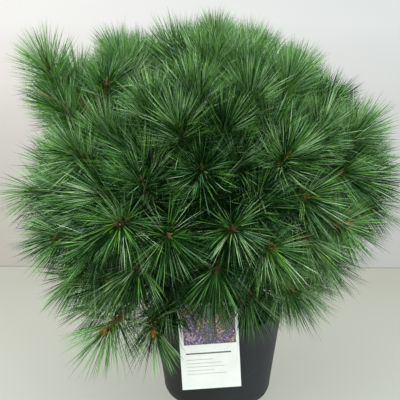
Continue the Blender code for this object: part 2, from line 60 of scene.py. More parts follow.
# Table and the ground behind it: colours by the share of the way back, with painted light and shade:
# the table darker towards its back edge and to the right, the ground behind paler with distance and
# to the left
GROUND_SIZE = 24.0
TABLE_FRONT = -0.05
TABLE_BACK_EDGE = 0.5495
TABLE_EDGE_SLOPE = 0.0123
TABLE_EDGE_LINE = 0.008
FAR_END = 5.0
SIDE_REACH = 1.2
TABLE_COLOURS_AND_SHADE = [(0.0, (0.625, 0.632, 0.556)), (0.4, (0.545, 0.546, 0.476)),
                 (0.85, (0.452, 0.452, 0.385)), (1.0, (0.44, 0.44, 0.372))]
TABLE_RIGHT_PAINTED_SHADE = (0.715, 0.755, 0.755)
EDGE_COLOUR = (0.29, 0.285, 0.24)
FAR_LEFT_COLOURS_AND_LIGHT = [(0.0, (0.372, 0.33, 0.25)), (0.2, (0.462, 0.43, 0.375)),
                    (0.5, (0.617, 0.58, 0.544)), (1.0, (0.68, 0.672, 0.655))]
FAR_RIGHT_COLOURS_AND_LIGHT = [(0.0, (0.375, 0.41, 0.425)), (0.2, (0.43, 0.458, 0.458)),
                     (0.5, (0.48, 0.505, 0.495)), (1.0, (0.555, 0.575, 0.565))]

# Pot, soil and card, as in the solids
POT_HEIGHT = 0.135
RIM_RADIUS = 0.095
RIM_BAND_HEIGHT = 0.018
RIM_BAND_STANDOUT = 0.0016
RIM_THICKNESS = 0.0028
WALL_THICKNESS = 0.002
SHOULDER_HEIGHT = 0.018
SHOULDER_RADIUS = 0.08
FOOT_RADIUS = 0.069
FLOOR_THICKNESS = 0.0025
FLOOR_EDGE_INSET = 0.4
POT_STEPS = 144
RIM_ROUNDING = 0.0008
WALL_SHARES = (0.25, 0.5, 0.75)
FOOT_STEPS = 7
FOOT_TURN = math.radians(77.4)
DRAIN_NOTCHES = 8
NOTCH_FIRST_TURN = 0.35
NOTCH_SIZE = (0.016, 0.011, 0.007)
SOIL_LEVEL = 0.117
SOIL_RINGS = 26
SOIL_STEPS = 96
SOIL_EDGE_GAP = 0.0012
SOIL_DEPTH = 0.012
SOIL_CRUMBS = 420
PERLITE_EVERY = 9
CARD_WIDTH = 0.084
CARD_HEIGHT = 0.131
CARD_THICKNESS = 0.0008
CARD_BOTTOM = 0.048
CARD_TURN = math.radians(2.0)
CARD_SHIFT = -0.016
CARD_ROLL = math.radians(-3.3)
CARD_OUT = RIM_RADIUS + 0.0018 + CARD_THICKNESS / 2.0
CARD_COLUMNS = 16
CARD_ROWS = 24
CARD_BOW = 0.0016
CARD_FRONT = Vector((math.sin(CARD_TURN), -math.cos(CARD_TURN), 0.0))
CARD_ACROSS = Vector((math.cos(CARD_TURN), math.sin(CARD_TURN), 0.0))

# Looks of the pot: browner and darker to the left and lighter and bluer to the right, partly a tint
# and partly painted light
POT_DUST = [(0.25, (0.023, 0.027, 0.029)), (0.55, (0.03, 0.034, 0.036)),
            (0.85, (0.043, 0.047, 0.047))]
POT_SIDE_TINT_AND_LIGHT = [(0.0, (0.6, 0.59, 0.54)), (0.4, (0.74, 0.74, 0.72)),
                   (0.75, (0.9, 0.95, 1.1)), (1.0, (0.9, 0.95, 1.1))]
POT_ROUGHNESS = (0.42, 0.62)
SPECK_FROM = 0.76
SPECK_HEIGHT = 0.045
SPECK_COLOUR = (0.2, 0.18, 0.13)
DIAGONAL_LINE_ENDS = ((0.0387, 0.052), (0.059, 0.065))
DIAGONAL_LINE_WIDTH = 0.0004
DIAGONAL_LINE_COLOUR = (0.066, 0.072, 0.076)

# Print on the card: a block of tones (low, high, left, right) and rules
# (middle, weight, right end, grey)
CARD_BLOCK = (0.003, 0.061, -0.036, 0.038)
CARD_TONE_SPAN = (0.7, 1.2)
CARD_TONES = [(0.1, (0.52, 0.36, 0.42)), (0.28, (0.2, 0.15, 0.3)),
              (0.42, (0.045, 0.06, 0.14)), (0.56, (0.07, 0.09, 0.065)),
              (0.7, (0.25, 0.14, 0.09)), (0.88, (0.6, 0.46, 0.44))]
CARD_DOTS_SHARE = 0.9
CARD_PAPER = [(0.3, (0.8, 0.85, 0.82)), (0.7, (0.87, 0.91, 0.88))]
CARD_RULE_LEFT = -0.034
CARD_RULES = [(-0.0105, 0.0022, 0.03, 0.12), (-0.02, 0.001, 0.004, 0.5),
              (-0.0255, 0.001, 0.016, 0.52), (-0.031, 0.001, 0.02, 0.52),
              (-0.0365, 0.001, 0.006, 0.54), (-0.042, 0.001, 0.022, 0.52)]

# Trunk, crown and boughs, as in the solids
SEED = 7
TRUNK_TIP = Vector((0.002, 0.004, 0.445))
TRUNK_RADIUS = 0.01
TRUNK_FLARE_RADIUS = 0.0165
TRUNK_FLARE_HEIGHT = 0.01
TRUNK_TIP_RADIUS = 0.0026
TRUNK_BOW = 0.01
CROWN_MIDDLE = Vector((-0.016, 0.0, 0.337))
CROWN_RADIUS = 0.208
CROWN_HALF_HEIGHT = 0.152
CROWN_HEART = Vector((-0.018, 0.002, 0.27))
FIRST_BOUGH_HEIGHT = 0.142
LAST_BOUGH_HEIGHT = 0.415
BOUGH_TO_TRUNK = 0.42
BOUGH_BASE_RADIUS_MIN = 0.0022
BOUGH_TIP_RADIUS = 0.0018
BOUGH_BEND = 0.45
# Name, azimuth from the right-hand side and elevation in degrees, reach as a share of the crown,
# how widely the side sprays spread, and the turn of the first of them in degrees
BOUGHS = [
    ("low_1", 153, -36, 1.11, 0.87, 46),
    ("low_2", 1, -33, 1.03, 0.93, 32),
    ("low_3", -127, -47, 1.44, 0.79, 41),
    ("low_4", 52, -35, 1.06, 0.89, 52),
    ("low_5", -41, -53, 1.07, 0.99, 56),
    ("low_6", 113, -41, 1.02, 1.05, 17),
    ("low_7", -107, -38, 0.94, 0.97, 50),
    ("mid_1", 61, 5, 1.02, 1.03, 1),
    ("mid_2", -152, -22, 1.08, 1.02, 51),
    ("mid_3", 21, -8, 1.16, 1.05, 4),
    ("mid_4", -82, -6, 1.00, 0.98, 34),
    ("mid_5", 175, -11, 1.13, 0.87, 58),
    ("mid_6", -31, -16, 1.00, 0.79, 43),
    ("mid_7", 118, -2, 1.03, 0.93, 13),
    ("upper_1", -59, 23, 0.95, 0.89, 20),
    ("upper_2", 150, 18, 1.06, 1.03, 20),
    ("upper_3", -18, 23, 1.02, 1.05, 7),
    ("upper_4", -145, 19, 0.99, 0.70, 39),
    ("upper_5", 94, 25, 1.03, 1.03, 24),
    ("upper_6", -117, -3, 1.09, 1.02, 71),
    ("upper_7", 23, 29, 0.98, 0.96, 7),
    ("upper_8", 190, 44, 1.40, 0.62, 13),
    ("top_1", -102, 38, 0.99, 1.05, 7),
    ("top_2", 60, 55, 1.01, 1.05, 52),
    ("top_3", 155, 56, 1.11, 1.05, 33),
    ("top_4", -32, 56, 1.01, 1.05, 28),
]
LEADER_RISE = 0.062
LEADER_FIRST_TWIG = 32
BOUGH_SECTIONS = (0.0, 0.2, 0.42, 0.66, 0.86)
STEM_LENGTH = 0.075
LEAD_STANDOUT = 0.012
TWIG_RISE = 0.03
TWIG_LOWEST_FORK = 0.012
TWIG_SHORTENING = (1.0, 0.85, 0.7, 0.55)
SIDE_SPRAYS = 5
SIDE_SPREAD = 0.056
SIDE_SETBACK = 0.014
INNER_SPRAYS = 1
INNER_SPREAD = 0.042
INNER_SETBACK = 0.058
STEEP = 0.95
UPTURN = 0.25
HIGH_UPTURN = 0.9
HIGH = (0.36, 0.1)
LOWEST_AXIS = -0.64
SKY_GAPS = [(-0.192, 0.532, 0.02), (-0.085, 0.568, 0.012)]
GAP_STEPS = 8
GOLDEN_ANGLE = math.pi * (3.0 - math.sqrt(5.0))
SPRAY_ROOM = 0.01
LEADER_FOOT = 0.045

# Relief of the limbs: sides of the tube, depth and grain; the trunk's rings crowd at its foot
TRUNK_SKIN = (22, 0.16, 130.0)
TRUNK_RINGS = 70
TRUNK_CROWDING = 1.2
BOUGH_SKIN = (10, 0.18, 220.0)
BOUGH_STEPS = 24
STEM_SKIN = (7, 0.12, 300.0)
TWIG_SKIN = (6, 0.12, 300.0)
STEM_SHARES = (0.0, 0.35, 0.7, 1.0)
STEM_RADII = (BOUGH_TIP_RADIUS, 0.0019, 0.0018, 0.0015)
TWIG_RADII = (0.0017, 0.0015, 0.0016, 0.0018, 0.0014)
TWIG_SAG = 0.001

# Needles: bundles of five on the last stretch of each shoot, from low to high on the crown;
# what changes with height does so from a height over a span
BUNDLE_NEEDLES = 5
BUNDLE_COUNTS = (68, 136)
NEEDLE_SPREADS = (0.1, 0.125)
DENSER = (0.27, 0.15)
FINE_BUNDLE_SHARE = 0.36
FINE_SIZE = 0.84
FINE_SETBACK = 0.03
# Finer and inner sprays are dealt darker needles: painted shade inside the crown
FINE_PAINTED_SHADE = 0.6
FINE_SWING = (0.5, 0.9)
FINE_FORK = (0.35, 0.6)
FINE_TWIG = (0.024, 0.034)
HIGH_FINE_SIZE = 0.98
INNER_TWIG = (0.03, 0.042)
INNER_SHARES = (0.55, 0.72, 0.88, 1.0)
INNER_SIZE = 0.8
MASS_DENSITY = {"upper_8": 0.65, "low_1": 0.75, "low_2": 0.6, "low_3": 0.68,
                "mid_5": 0.8, "mid_6": 0.8}
MASS_SIZES = {"leader": 0.98, "upper_8": 0.92, "top_3": 0.93, "low_5": 1.12, "low_3": 1.04}
SPRAY_SIZES = {("leader", 0): 0.86, ("leader", 3): 1.06, ("leader", 9): 1.15,
               ("leader", 10): 1.28, ("leader", 11): 1.36, ("leader", 12): 1.22}
SHOOT_LENGTH = 0.04
SHOOT_STANDOUT = 0.01
NEEDLE_LENGTH = 0.07
NEEDLE_WIDTH = 0.00088
NEEDLE_DROOP = 0.004
NEEDLE_BEND = 0.0026
LOW_SAG = 0.35
SAGGING = (0.27, 0.14)
POLAR_AT_FOOT = math.radians(100.0)
POLAR_AT_TIP = math.radians(22.0)
RISING_POLAR_CUT = math.radians(50.0)
POLAR_LIMITS = (0.06, 2.0)
POLAR_SPREAD = 0.18
TURN_SPREAD = 0.25
FOOT_CROWDING = 0.8
FOOT_OUT = 0.0016
BUNDLE_LENGTHS = (0.84, 1.08)
NEEDLE_LENGTHS = (0.93, 1.04)
SPRAY_LENGTHS = (0.92, 1.04)
DROOPS = (0.4, 1.5)
BLADE_SHARES = (0.0, 0.28, 0.68)
BLADE_HALF_WIDTHS = (0.42, 0.52, 0.4)
BLADE_PATTERN = [(0, 1, 3), (0, 3, 2), (2, 3, 5), (2, 5, 4), (4, 5, 6)]
FOOT_FACES = 2
DEAD_DROP = np.array((0.0, 0.0, -0.01))
SHEATH_LENGTH = 0.009
SHEATH_SHARES = (0.0, 0.5)
SHEATH_RADII = (0.42, 0.52)
SHEATH_PATTERN = [(0, 1, 4), (0, 4, 3), (3, 4, 6), (1, 2, 5), (1, 5, 4), (4, 5, 6),
                  (2, 0, 3), (2, 3, 5), (5, 3, 6)]
BUNDLES_PER_SHEATH = 3
END_BUD_LENGTH = 0.013
END_BUD_RADIUS = 0.0034
SIDE_BUDS = 5
SIDE_BUD_RADIUS = 0.0024
SIDE_BUD_LENGTHS = (0.007, 0.011)
BUD_SHARES = (0.0, 0.4, 0.9)
BUD_RADII = (0.75, 1.0, 0.25)
SCALE_COUNT = 18
SCALE_SPAN = (-0.008, 0.011)
SCALE_LEAN = (0.4, 0.9)
SCALE_LENGTHS = (0.0035, 0.006)
SCALE_WIDTH = 0.0027
SHEATH_WIDTH = 0.0019
MASSES_PER_PIECE = 5
QUICK_SHARE = 1.0

# Base colours of the needles: the foot of a needle is fresher than its blade. The darkest greens are
# painted shade, the dark feet in the tufts' middles and the deepest blades in the crown's hollows and
# inside; the pale blade is partly waxy bloom and partly a painted highlight
FOOT_GREENS = {
    "dark": (0.014, 0.06, 0.008),
    "grass": (0.04, 0.15, 0.014),
    "yellow": (0.13, 0.29, 0.024),
}
BLADE_GREENS = {
    "deep_painted_shade": (0.002, 0.016, 0.002),
    "dusk_painted_shade": (0.01, 0.052, 0.009),
    "leaf": (0.052, 0.172, 0.036),
    "blue": (0.076, 0.205, 0.09),
    "fresh": (0.13, 0.32, 0.06),
    "pale": (0.3, 0.485, 0.25),
}
WAXY_GREEN = 0.2
WAXY_ROUGHNESS = 0.36
DULL_ROUGHNESS = 0.6
WAXY_SPECULAR = 0.4
DULL_SPECULAR = 0.03

# How fresh and lit a spray is, partly fresh growth and partly painted light and shade: on its own, by
# height, by distance from the middle, by its rise
LIGHT_BASE = 0.42
LIGHT_BY_HEIGHT = 0.48
LIGHT_FROM = 0.3
LIGHT_SPAN = 0.17
LIGHT_BY_DISTANCE = 0.9
LIGHT_DISTANCE = 0.85
LIGHT_BY_RISE = 0.15
LIGHT_LUCK = 0.12

# Painted light and shade on the needles: where they are paler (painted light) or, with a minus,
# duller (painted shade, as in the crown's front hollow)
# than the rule has them: place, radius and strength
PAINTED_LIGHT_AND_SHADE_SPOTS = [
    (Vector((-0.015, -0.18, 0.365)), 0.12, -0.75),
    (Vector((-0.13, -0.14, 0.3)), 0.08, -0.38),
    (Vector((-0.058, -0.17, 0.28)), 0.05, -0.3),
    (Vector((0.15, 0.02, 0.44)), 0.07, -0.8),
    (Vector((0.21, -0.02, 0.335)), 0.075, -0.65),
    (Vector((0.14, -0.11, 0.225)), 0.12, 0.6),
    (Vector((-0.139, -0.163, 0.177)), 0.08, 0.5),
    (Vector((0.02, 0.000, 0.54)), 0.12, 0.4),
]
LONE_NEEDLES = 0.25
DEAD_SHARE = 0.4
# Shares of each colour at the lowest and the highest light: the dull end is partly painted shade, the
# fresh end partly painted light
DULL_SHADED_FEET = (0.7, 0.28, 0.02)
FRESH_LIT_FEET = (0.05, 0.4, 0.55)
DULL_SHADED_BLADES = (0.46, 0.28, 0.12, 0.08, 0.04, 0.02)
FRESH_LIT_BLADES = (0.01, 0.04, 0.16, 0.09, 0.38, 0.32)
BUD_BROWNS = {
    "dark": ((0.055, 0.026, 0.013), (0.13, 0.064, 0.032), (0.25, 0.14, 0.075)),
    "orange": ((0.16, 0.07, 0.015), (0.44, 0.21, 0.045), (0.64, 0.38, 0.11)),
}
SCALE_BROWNS = {
    "dark": ((0.06, 0.032, 0.016), (0.13, 0.07, 0.034), (0.22, 0.135, 0.07)),
    "orange": ((0.13, 0.065, 0.016), (0.34, 0.175, 0.042), (0.5, 0.31, 0.1)),
}
# Where the buds are orange: place and radius
ORANGE_SPOTS = [(Vector((0.1, -0.12, 0.31)), 0.12),
                (Vector((-0.144, -0.16, 0.175)), 0.06)]
DEAD_BROWNS = {
    "rust": (0.2, 0.09, 0.035),
    "straw": (0.38, 0.2, 0.1),
}

# Looks by one noise: roughness, specular, the noise's scale, detail and roughness, where on
# the noise each colour stands, and the bump's strength and distance
BARK_LOOK = (0.9, 0.2, (160.0, 6.0, 0.65), (0.3, 0.5, 0.75), (0.7, 0.0012))
SHOOT_LOOK = (0.75, 0.3, (420.0, 4.0, 0.6), (0.3, 0.55, 0.8), (0.5, 0.0006))
BUD_LOOK = (0.5, 0.4, (900.0, 3.0, 0.6), (0.25, 0.5, 0.8), (0.6, 0.0004))
SCALE_LOOK = (0.7, 0.3, (240.0, 3.0, 0.6), (0.3, 0.5, 0.75), None)
SOIL_LOOK = (0.95, 0.2, (260.0, 6.0, 0.7), (0.3, 0.6, 0.85), (0.9, 0.002))
PERLITE_LOOK = (0.8, 0.3, (700.0, 4.0, 0.55), (0.3, 0.7), None)
PLASTIC_LOOK = (0.38, 0.45, (40.0, 3.0, 0.5), (0.3, 0.7), None)
BARK_COLOURS = ((0.035, 0.022, 0.014), (0.13, 0.085, 0.055), (0.25, 0.19, 0.14))
SHOOT_COLOURS = ((0.055, 0.03, 0.014), (0.17, 0.095, 0.04), (0.3, 0.19, 0.09))
SOIL_COLOURS = ((0.008, 0.006, 0.004), (0.035, 0.024, 0.016), (0.09, 0.062, 0.04))
PERLITE_COLOURS = ((0.45, 0.44, 0.4), (0.75, 0.74, 0.7))
PLASTIC_COLOURS = ((0.8, 0.84, 0.81), (0.86, 0.9, 0.87))


class Paint:
    """A Principled material and the nodes that colour it, in the piece's own metres."""

    def __init__(self, name, roughness, specular):
        self.material = bpy.data.materials.new(name)
        self.material.use_nodes = True
        self.nodes = self.material.node_tree.nodes
        self.shader = self.nodes["Principled BSDF"].inputs
        self.feed(self.shader["Roughness"], roughness)
        self.feed(self.shader["Specular IOR Level"], specular)

    def feed(self, socket, value):
        """Give a socket a plain number, a plain colour or another node's output."""
        if isinstance(value, float):
            socket.default_value = value
        elif isinstance(value, tuple):
            socket.default_value = (*value, 1.0)
        else:
            self.material.node_tree.links.new(value, socket)

    def coat(self, colour):
        """Give the material its colour and return it."""
        self.feed(self.shader["Base Color"], colour)
        return self.material

    def node(self, kind, output, sockets, **settings):
        """One output of a new node whose settings are made and whose sockets are fed."""
        made = self.nodes.new("ShaderNode" + kind)
        for name, setting in settings.items():
            setattr(made, name, setting)
        for socket, value in sockets.items():
            self.feed(made.inputs[socket], value)
        return made.outputs[output]

    def place(self):
        """A point's place on the piece."""
        return self.node("TexCoord", "Object", {})

    def axes(self):
        """The X, Y and Z of a point's place on the piece."""
        place = self.place()
        return [self.node("SeparateXYZ", axis, {"Vector": place}) for axis in "XYZ"]

    def noise(self, scale, detail, roughness):
        """Noise over the piece."""
        return self.node("TexNoise", "Fac", {
            "Scale": scale, "Detail": detail, "Roughness": roughness, "Vector": self.place()})

    def ramp(self, share, stops):
        """The colour that a share has among (position, colour) stops."""
        made = self.nodes.new("ShaderNodeValToRGB")
        elements = made.color_ramp.elements
        while len(elements) < len(stops):
            elements.new(0.5)
        for element, (position, colour) in zip(elements, stops):
            element.position = position
            element.color = (*colour, 1.0)
        self.feed(made.inputs["Fac"], share)
        return made.outputs["Color"]

    def result(self, operation, first, second):
        """The result of an operation on two values."""
        return self.node("Math", "Value", {0: first, 1: second}, operation=operation)

    def inside(self, value, low, high):
        """One where a value is between low and high, else zero."""
        above = self.result("GREATER_THAN", value, low)
        below = self.result("LESS_THAN", value, high)
        return self.result("MULTIPLY", above, below)

    def share(self, value, low, high, at_low=0.0, at_high=1.0):
        """A value's share of the way from low to high, from at_low to at_high."""
        return self.node("MapRange", "Result", {
            "Value": value, "From Min": low, "From Max": high,
            "To Min": at_low, "To Max": at_high})

    def mix(self, factor, first, second, blend_type="MIX"):
        """Two colours mixed by a factor."""
        return self.node("Mix", 2, {0: factor, 6: first, 7: second},
                         data_type="RGBA", blend_type=blend_type)

    def bump(self, height, strength, distance):
        """Bump from a height."""
        self.feed(self.shader["Normal"], self.node("Bump", "Normal", {
            "Strength": strength, "Distance": distance, "Height": height}))


def blend(start, end, share):
    """A value at a share of the way from start to end."""
    return start + (end - start) * share


def on_circle(radius, turn, height):
    """A place round the upright axis."""
    return Vector((radius * math.cos(turn), radius * math.sin(turn), height))


def needle_material(name, colour):
    """One plain colour of the needles; the paler they are, the waxier their gloss."""
    wax = min(colour[1] / WAXY_GREEN, 1.0)
    roughness = blend(DULL_ROUGHNESS, WAXY_ROUGHNESS, wax)
    return Paint(name, roughness, blend(DULL_SPECULAR, WAXY_SPECULAR, wax)).coat(colour)


def needle_materials():
    """All needle colours: feet first, then blades, then dead ones."""
    made = []
    for kind, colours in (("foot", FOOT_GREENS), ("blade", BLADE_GREENS), ("dead", DEAD_BROWNS)):
        for name, colour in colours.items():
            made.append(needle_material(f"needle_{kind}_{name}", colour))
    return made


def noisy_material(name, look, colours):
    """Colours dealt out by one noise, with bump from it where the look has any."""
    roughness, specular, grain, positions, relief = look
    paint = Paint(name, roughness, specular)
    speckle = paint.noise(*grain)
    if relief:
        paint.bump(speckle, *relief)
    return paint.coat(paint.ramp(speckle, list(zip(positions, colours))))


def pot_material():
    """Matte black recycled plastic, browner and darker to the left and lighter and bluer to the right
    as painted light, with dust, specks and a lighter diagonal line.
    """
    paint = Paint("pot_plastic", 0.5, 0.4)
    across, _, height = paint.axes()
    cloud = paint.noise(18.0, 5.0, 0.6)
    # Painted light across the pot: darker and browner to the left, lighter and bluer to the right
    side_tint_and_light = paint.ramp(paint.share(across, -RIM_RADIUS, RIM_RADIUS), POT_SIDE_TINT_AND_LIGHT)
    colour = paint.mix(1.0, paint.ramp(cloud, POT_DUST), side_tint_and_light, "MULTIPLY")
    speck = paint.result("GREATER_THAN", paint.noise(700.0, 2.0, 0.5), SPECK_FROM)
    low_speck = paint.result("MULTIPLY", speck, paint.inside(height, 0.0, SPECK_HEIGHT))
    colour = paint.mix(low_speck, colour, SPECK_COLOUR)
    # A lighter diagonal line on the right side of the pot
    (left, left_height), (right, right_height) = DIAGONAL_LINE_ENDS
    slope = (right_height - left_height) / (right - left)
    middle = left_height - slope * left
    level = paint.result("SUBTRACT", height, paint.result("MULTIPLY", across, slope))
    on_line = paint.inside(level, middle - DIAGONAL_LINE_WIDTH, middle + DIAGONAL_LINE_WIDTH)
    diagonal_line = paint.result("MULTIPLY", paint.inside(across, left, right), on_line)
    paint.feed(paint.shader["Roughness"], paint.share(cloud, 0.0, 1.0, *POT_ROUGHNESS))
    paint.bump(paint.noise(1400.0, 2.0, 0.5), 0.25, 0.0004)
    return paint.coat(paint.mix(diagonal_line, colour, DIAGONAL_LINE_COLOUR))


def new_object(name, data):
    """An object with its data, in the scene."""
    made = bpy.data.objects.new(name, data)
    bpy.context.scene.collection.objects.link(made)
    return made


def object_from_bmesh(name, bm):
    """An object from a bmesh, which is freed."""
    mesh = bpy.data.meshes.new(name)
    bm.to_mesh(mesh)
    bm.free()
    return new_object(name, mesh)


def settle(piece, slot, *nodes):
    """Ride on the one body and stand for the nodes named; the slot is not used."""
    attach(piece, "root")
    if nodes:
        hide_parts(*nodes)
    return piece


class Heap:
    """Vertices and triangles gathered into one piece."""

    def __init__(self):
        self.vertices = []
        self.triangles = []
        self.materials = []
        self.count = 0

    def add(self, vertices, triangles, material=0):
        """Take in a mesh, with one material's number or one for each triangle."""
        self.vertices.append(np.asarray(vertices, dtype=np.float64).reshape(-1, 3))
        self.triangles.append(np.asarray(triangles, dtype=np.int64).reshape(-1, 3) + self.count)
        self.materials.append(np.broadcast_to(material, len(self.triangles[-1])))
        self.count += len(self.vertices[-1])

    def piece(self, name, materials):
        """The object made of all that was taken in."""
        mesh = bpy.data.meshes.new(name)
        corners = np.concatenate(self.triangles).astype(np.int32).ravel()
        mesh.vertices.add(self.count)
        mesh.vertices.foreach_set("co", np.concatenate(self.vertices).astype(np.float32).ravel())
        mesh.loops.add(len(corners))
        mesh.loops.foreach_set("vertex_index", corners)
        mesh.polygons.add(len(corners) // 3)
        mesh.polygons.foreach_set("loop_start", np.arange(0, len(corners), 3, dtype=np.int32))
        for material in materials:
            mesh.materials.append(material)
        numbers = np.concatenate(self.materials).astype(np.int32)
        mesh.polygons.foreach_set("material_index", numbers)
        mesh.polygons.foreach_set("use_smooth", np.ones(len(numbers), dtype=bool))
        mesh.update(calc_edges=True)
        return new_object(name, mesh)


def tube_arrays(points, radii, sides, relief=0.0, grain=0.0):
    """A closed tube through the points; relief of a grain roughens its skin like bark."""
    side = None
    vertices = []
    for index, point in enumerate(points):
        before = points[max(index - 1, 0)]
        after = points[min(index + 1, len(points) - 1)]
        along = (after - before).normalized()
        if side is None:
            side = along.orthogonal().normalized()
        side = (side - along * side.dot(along)).normalized()
        other = along.cross(side)
        for corner in range(sides):
            turn = math.tau * corner / sides
            out = side * math.cos(turn) + other * math.sin(turn)
            radius = radii[index]
            if relief:
                where = point + out * radius
                radius *= 1.0 + relief * noise.fractal(where * grain, 1.0, 2.0, 4)
            vertices.append(point + out * radius)
    triangles = []
    for ring in range(len(points) - 1):
        for corner in range(sides):
            a = ring * sides + corner
            b = ring * sides + (corner + 1) % sides
            triangles.append((a, b, b + sides))
            triangles.append((a, b + sides, a + sides))
    first = len(vertices)
    vertices.append(points[0])
    vertices.append(points[-1])
    last_ring = (len(points) - 1) * sides
    for corner in range(sides):
        after = (corner + 1) % sides
        triangles.append((first, after, corner))
        triangles.append((first + 1, last_ring + corner, last_ring + after))
    return [tuple(vertex) for vertex in vertices], triangles


def trunk_point(height):
    """The middle of the trunk at a height."""
    share = (height - SOIL_LEVEL) / (TRUNK_TIP.z - SOIL_LEVEL)
    bow = TRUNK_BOW * math.sin(math.pi * share)
    return Vector((TRUNK_TIP.x * share + bow, TRUNK_TIP.y * share, height))


def trunk_radius(height):
    """The trunk's radius at a height."""
    share = (height - SOIL_LEVEL) / (TRUNK_TIP.z - SOIL_LEVEL)
    flare = math.exp(-(height - SOIL_LEVEL) / TRUNK_FLARE_HEIGHT)
    taper = blend(TRUNK_RADIUS, TRUNK_TIP_RADIUS, share)
    return taper + (TRUNK_FLARE_RADIUS - TRUNK_RADIUS) * flare


def crown_point(azimuth, elevation, reach):
    """A place on the crown's ellipsoid; the angles are in degrees."""
    turn = math.radians(azimuth)
    rise = math.radians(elevation)
    level = CROWN_RADIUS * math.cos(rise)
    return CROWN_MIDDLE + on_circle(level, turn, CROWN_HALF_HEIGHT * math.sin(rise)) * reach


def bough_point(start, end, heading, share):
    """A point on a bough's curve."""
    bend = end - heading * (end - start).length * BOUGH_BEND
    return start.lerp(bend, share).lerp(bend.lerp(end, share), share)


def mass_plans():
    """Where each mass sits, which way it faces and where its bough runs."""
    plans = []
    step = (LAST_BOUGH_HEIGHT - FIRST_BOUGH_HEIGHT) / (len(BOUGHS) - 1)
    for index, (name, azimuth, elevation, reach, openness, first_twig) in enumerate(BOUGHS):
        seed_point = crown_point(azimuth, elevation, reach)
        heading = (seed_point - CROWN_HEART).normalized()
        end = seed_point - heading * STEM_LENGTH
        start = trunk_point(FIRST_BOUGH_HEIGHT + step * index)
        before_end = bough_point(start, end, heading, BOUGH_SECTIONS[-1])
        plans.append({
            "name": name, "seed_point": seed_point, "outward": (end - before_end).normalized(),
            "stem_start": end, "heading": heading, "bough_start": start,
            "openness": openness, "first_twig": first_twig,
        })
    below = trunk_point(TRUNK_TIP.z - LEADER_FOOT)
    outward = (TRUNK_TIP - below).normalized()
    plans.append({
        "name": "leader", "seed_point": TRUNK_TIP + outward * LEADER_RISE, "outward": outward,
        "stem_start": TRUNK_TIP.copy(), "heading": outward, "bough_start": None,
        "openness": 1.0, "first_twig": LEADER_FIRST_TWIG,
    })
    return plans


def rise_share(place, start, span):
    """How far a place has risen through a span of height, from 0 to 1."""
    return min(max((place.z - start) / span, 0.0), 1.0)


def lifted(axis, place):
    """A spray's axis, turned up the more the higher it stands in the crown."""
    rise = rise_share(place, *HIGH)
    return (axis + UP * (HIGH_UPTURN * rise)).normalized()


def in_sky_gap(place, axis):
    """Whether a spray would stand in one of the gaps (x, z, radius) in the crown's outline."""
    for step in range(GAP_STEPS + 1):
        point = place + axis * (NEEDLE_LENGTH * step / GAP_STEPS)
        for x, z, radius in SKY_GAPS:
            if math.hypot(point.x - x, point.z - z) < radius:
                return True
    return False


def spray_places(plan):
    """Where the side sprays of one mass stand, by the same rule as in the solids."""
    seed_point = plan["seed_point"]
    outward = plan["outward"]
    openness = plan["openness"]
    rng = random.Random(f"{SEED} {plan['name']}")
    level = UP if abs(outward.z) < STEEP else Vector((0.0, 1.0, 0.0))
    side = level.cross(outward).normalized()
    other_side = outward.cross(side)
    first = math.radians(plan["first_twig"])
    places = []
    for index in range(SIDE_SPRAYS):
        turn = first + math.tau * index / SIDE_SPRAYS + rng.uniform(-0.2, 0.2)
        across = side * math.cos(turn) + other_side * math.sin(turn)
        spread = SIDE_SPREAD * openness * rng.uniform(0.88, 1.08)
        setback = SIDE_SETBACK + SIDE_SPREAD * (1.0 - openness)
        place = seed_point + across * spread - outward * setback
        axis = lifted((outward * 0.8 + across * 0.62 + UP * UPTURN).normalized(), place)
        if axis.z > LOWEST_AXIS and not in_sky_gap(place, axis):
            places.append((place, axis))
    for index in range(INNER_SPRAYS):
        turn = first + GOLDEN_ANGLE * (index + 0.5)
        across = side * math.cos(turn) + other_side * math.sin(turn)
        place = seed_point + across * INNER_SPREAD - outward * INNER_SETBACK
        axis = (outward * 0.35 + across * 0.95).normalized()
        places.append((place, axis))
    return places


def in_space(point, own, plans):
    """Whether a point is in the mass's own share of the crown, with room for a shoot."""
    here = plans[own]["seed_point"]
    for index, plan in enumerate(plans):
        if index == own:
            continue
        away = (plan["seed_point"] - here).normalized()
        middle = (plan["seed_point"] + here) / 2.0
        if (point - middle).dot(away) > -SPRAY_ROOM:
            return False
    return True


def grow_sprays(own, plans):
    """All the sprays of one mass: (place, axis, fork, size) for main and finer twigs."""
    plan = plans[own]
    rng = random.Random(f"{SEED} finer {plan['name']}")
    stem_start = plan["stem_start"]
    outward = plan["outward"]
    lead = plan["seed_point"] + outward * LEAD_STANDOUT
    sprays = [(lead, lifted(outward, lead), stem_start, 1.0)]
    for place, axis in spray_places(plan):
        along = max((place - stem_start).dot(outward) - TWIG_RISE, TWIG_LOWEST_FORK)
        fork = stem_start + outward * along
        for share in TWIG_SHORTENING:
            end = fork.lerp(place, share)
            if in_space(end, own, plans):
                sprays.append((end, axis, fork, 1.0))
                break
    finer = []
    for place, axis, fork, _ in sprays[1:]:
        for turn in (-1.0, 1.0):
            swing = Matrix.Rotation(turn * rng.uniform(*FINE_SWING), 3, outward)
            start = fork.lerp(place, rng.uniform(*FINE_FORK))
            heading = (swing @ (place - fork)).normalized()
            rise = rise_share(place, *HIGH)
            end = start + heading * rng.uniform(*FINE_TWIG) - outward * FINE_SETBACK * (1.0 - rise)
            size = blend(FINE_SIZE, HIGH_FINE_SIZE, rise)
            finer_axis = lifted(swing @ axis, place)
            if in_space(end, own, plans) and not in_sky_gap(end, finer_axis):
                finer.append((end, finer_axis, start, size))
    return sprays + finer


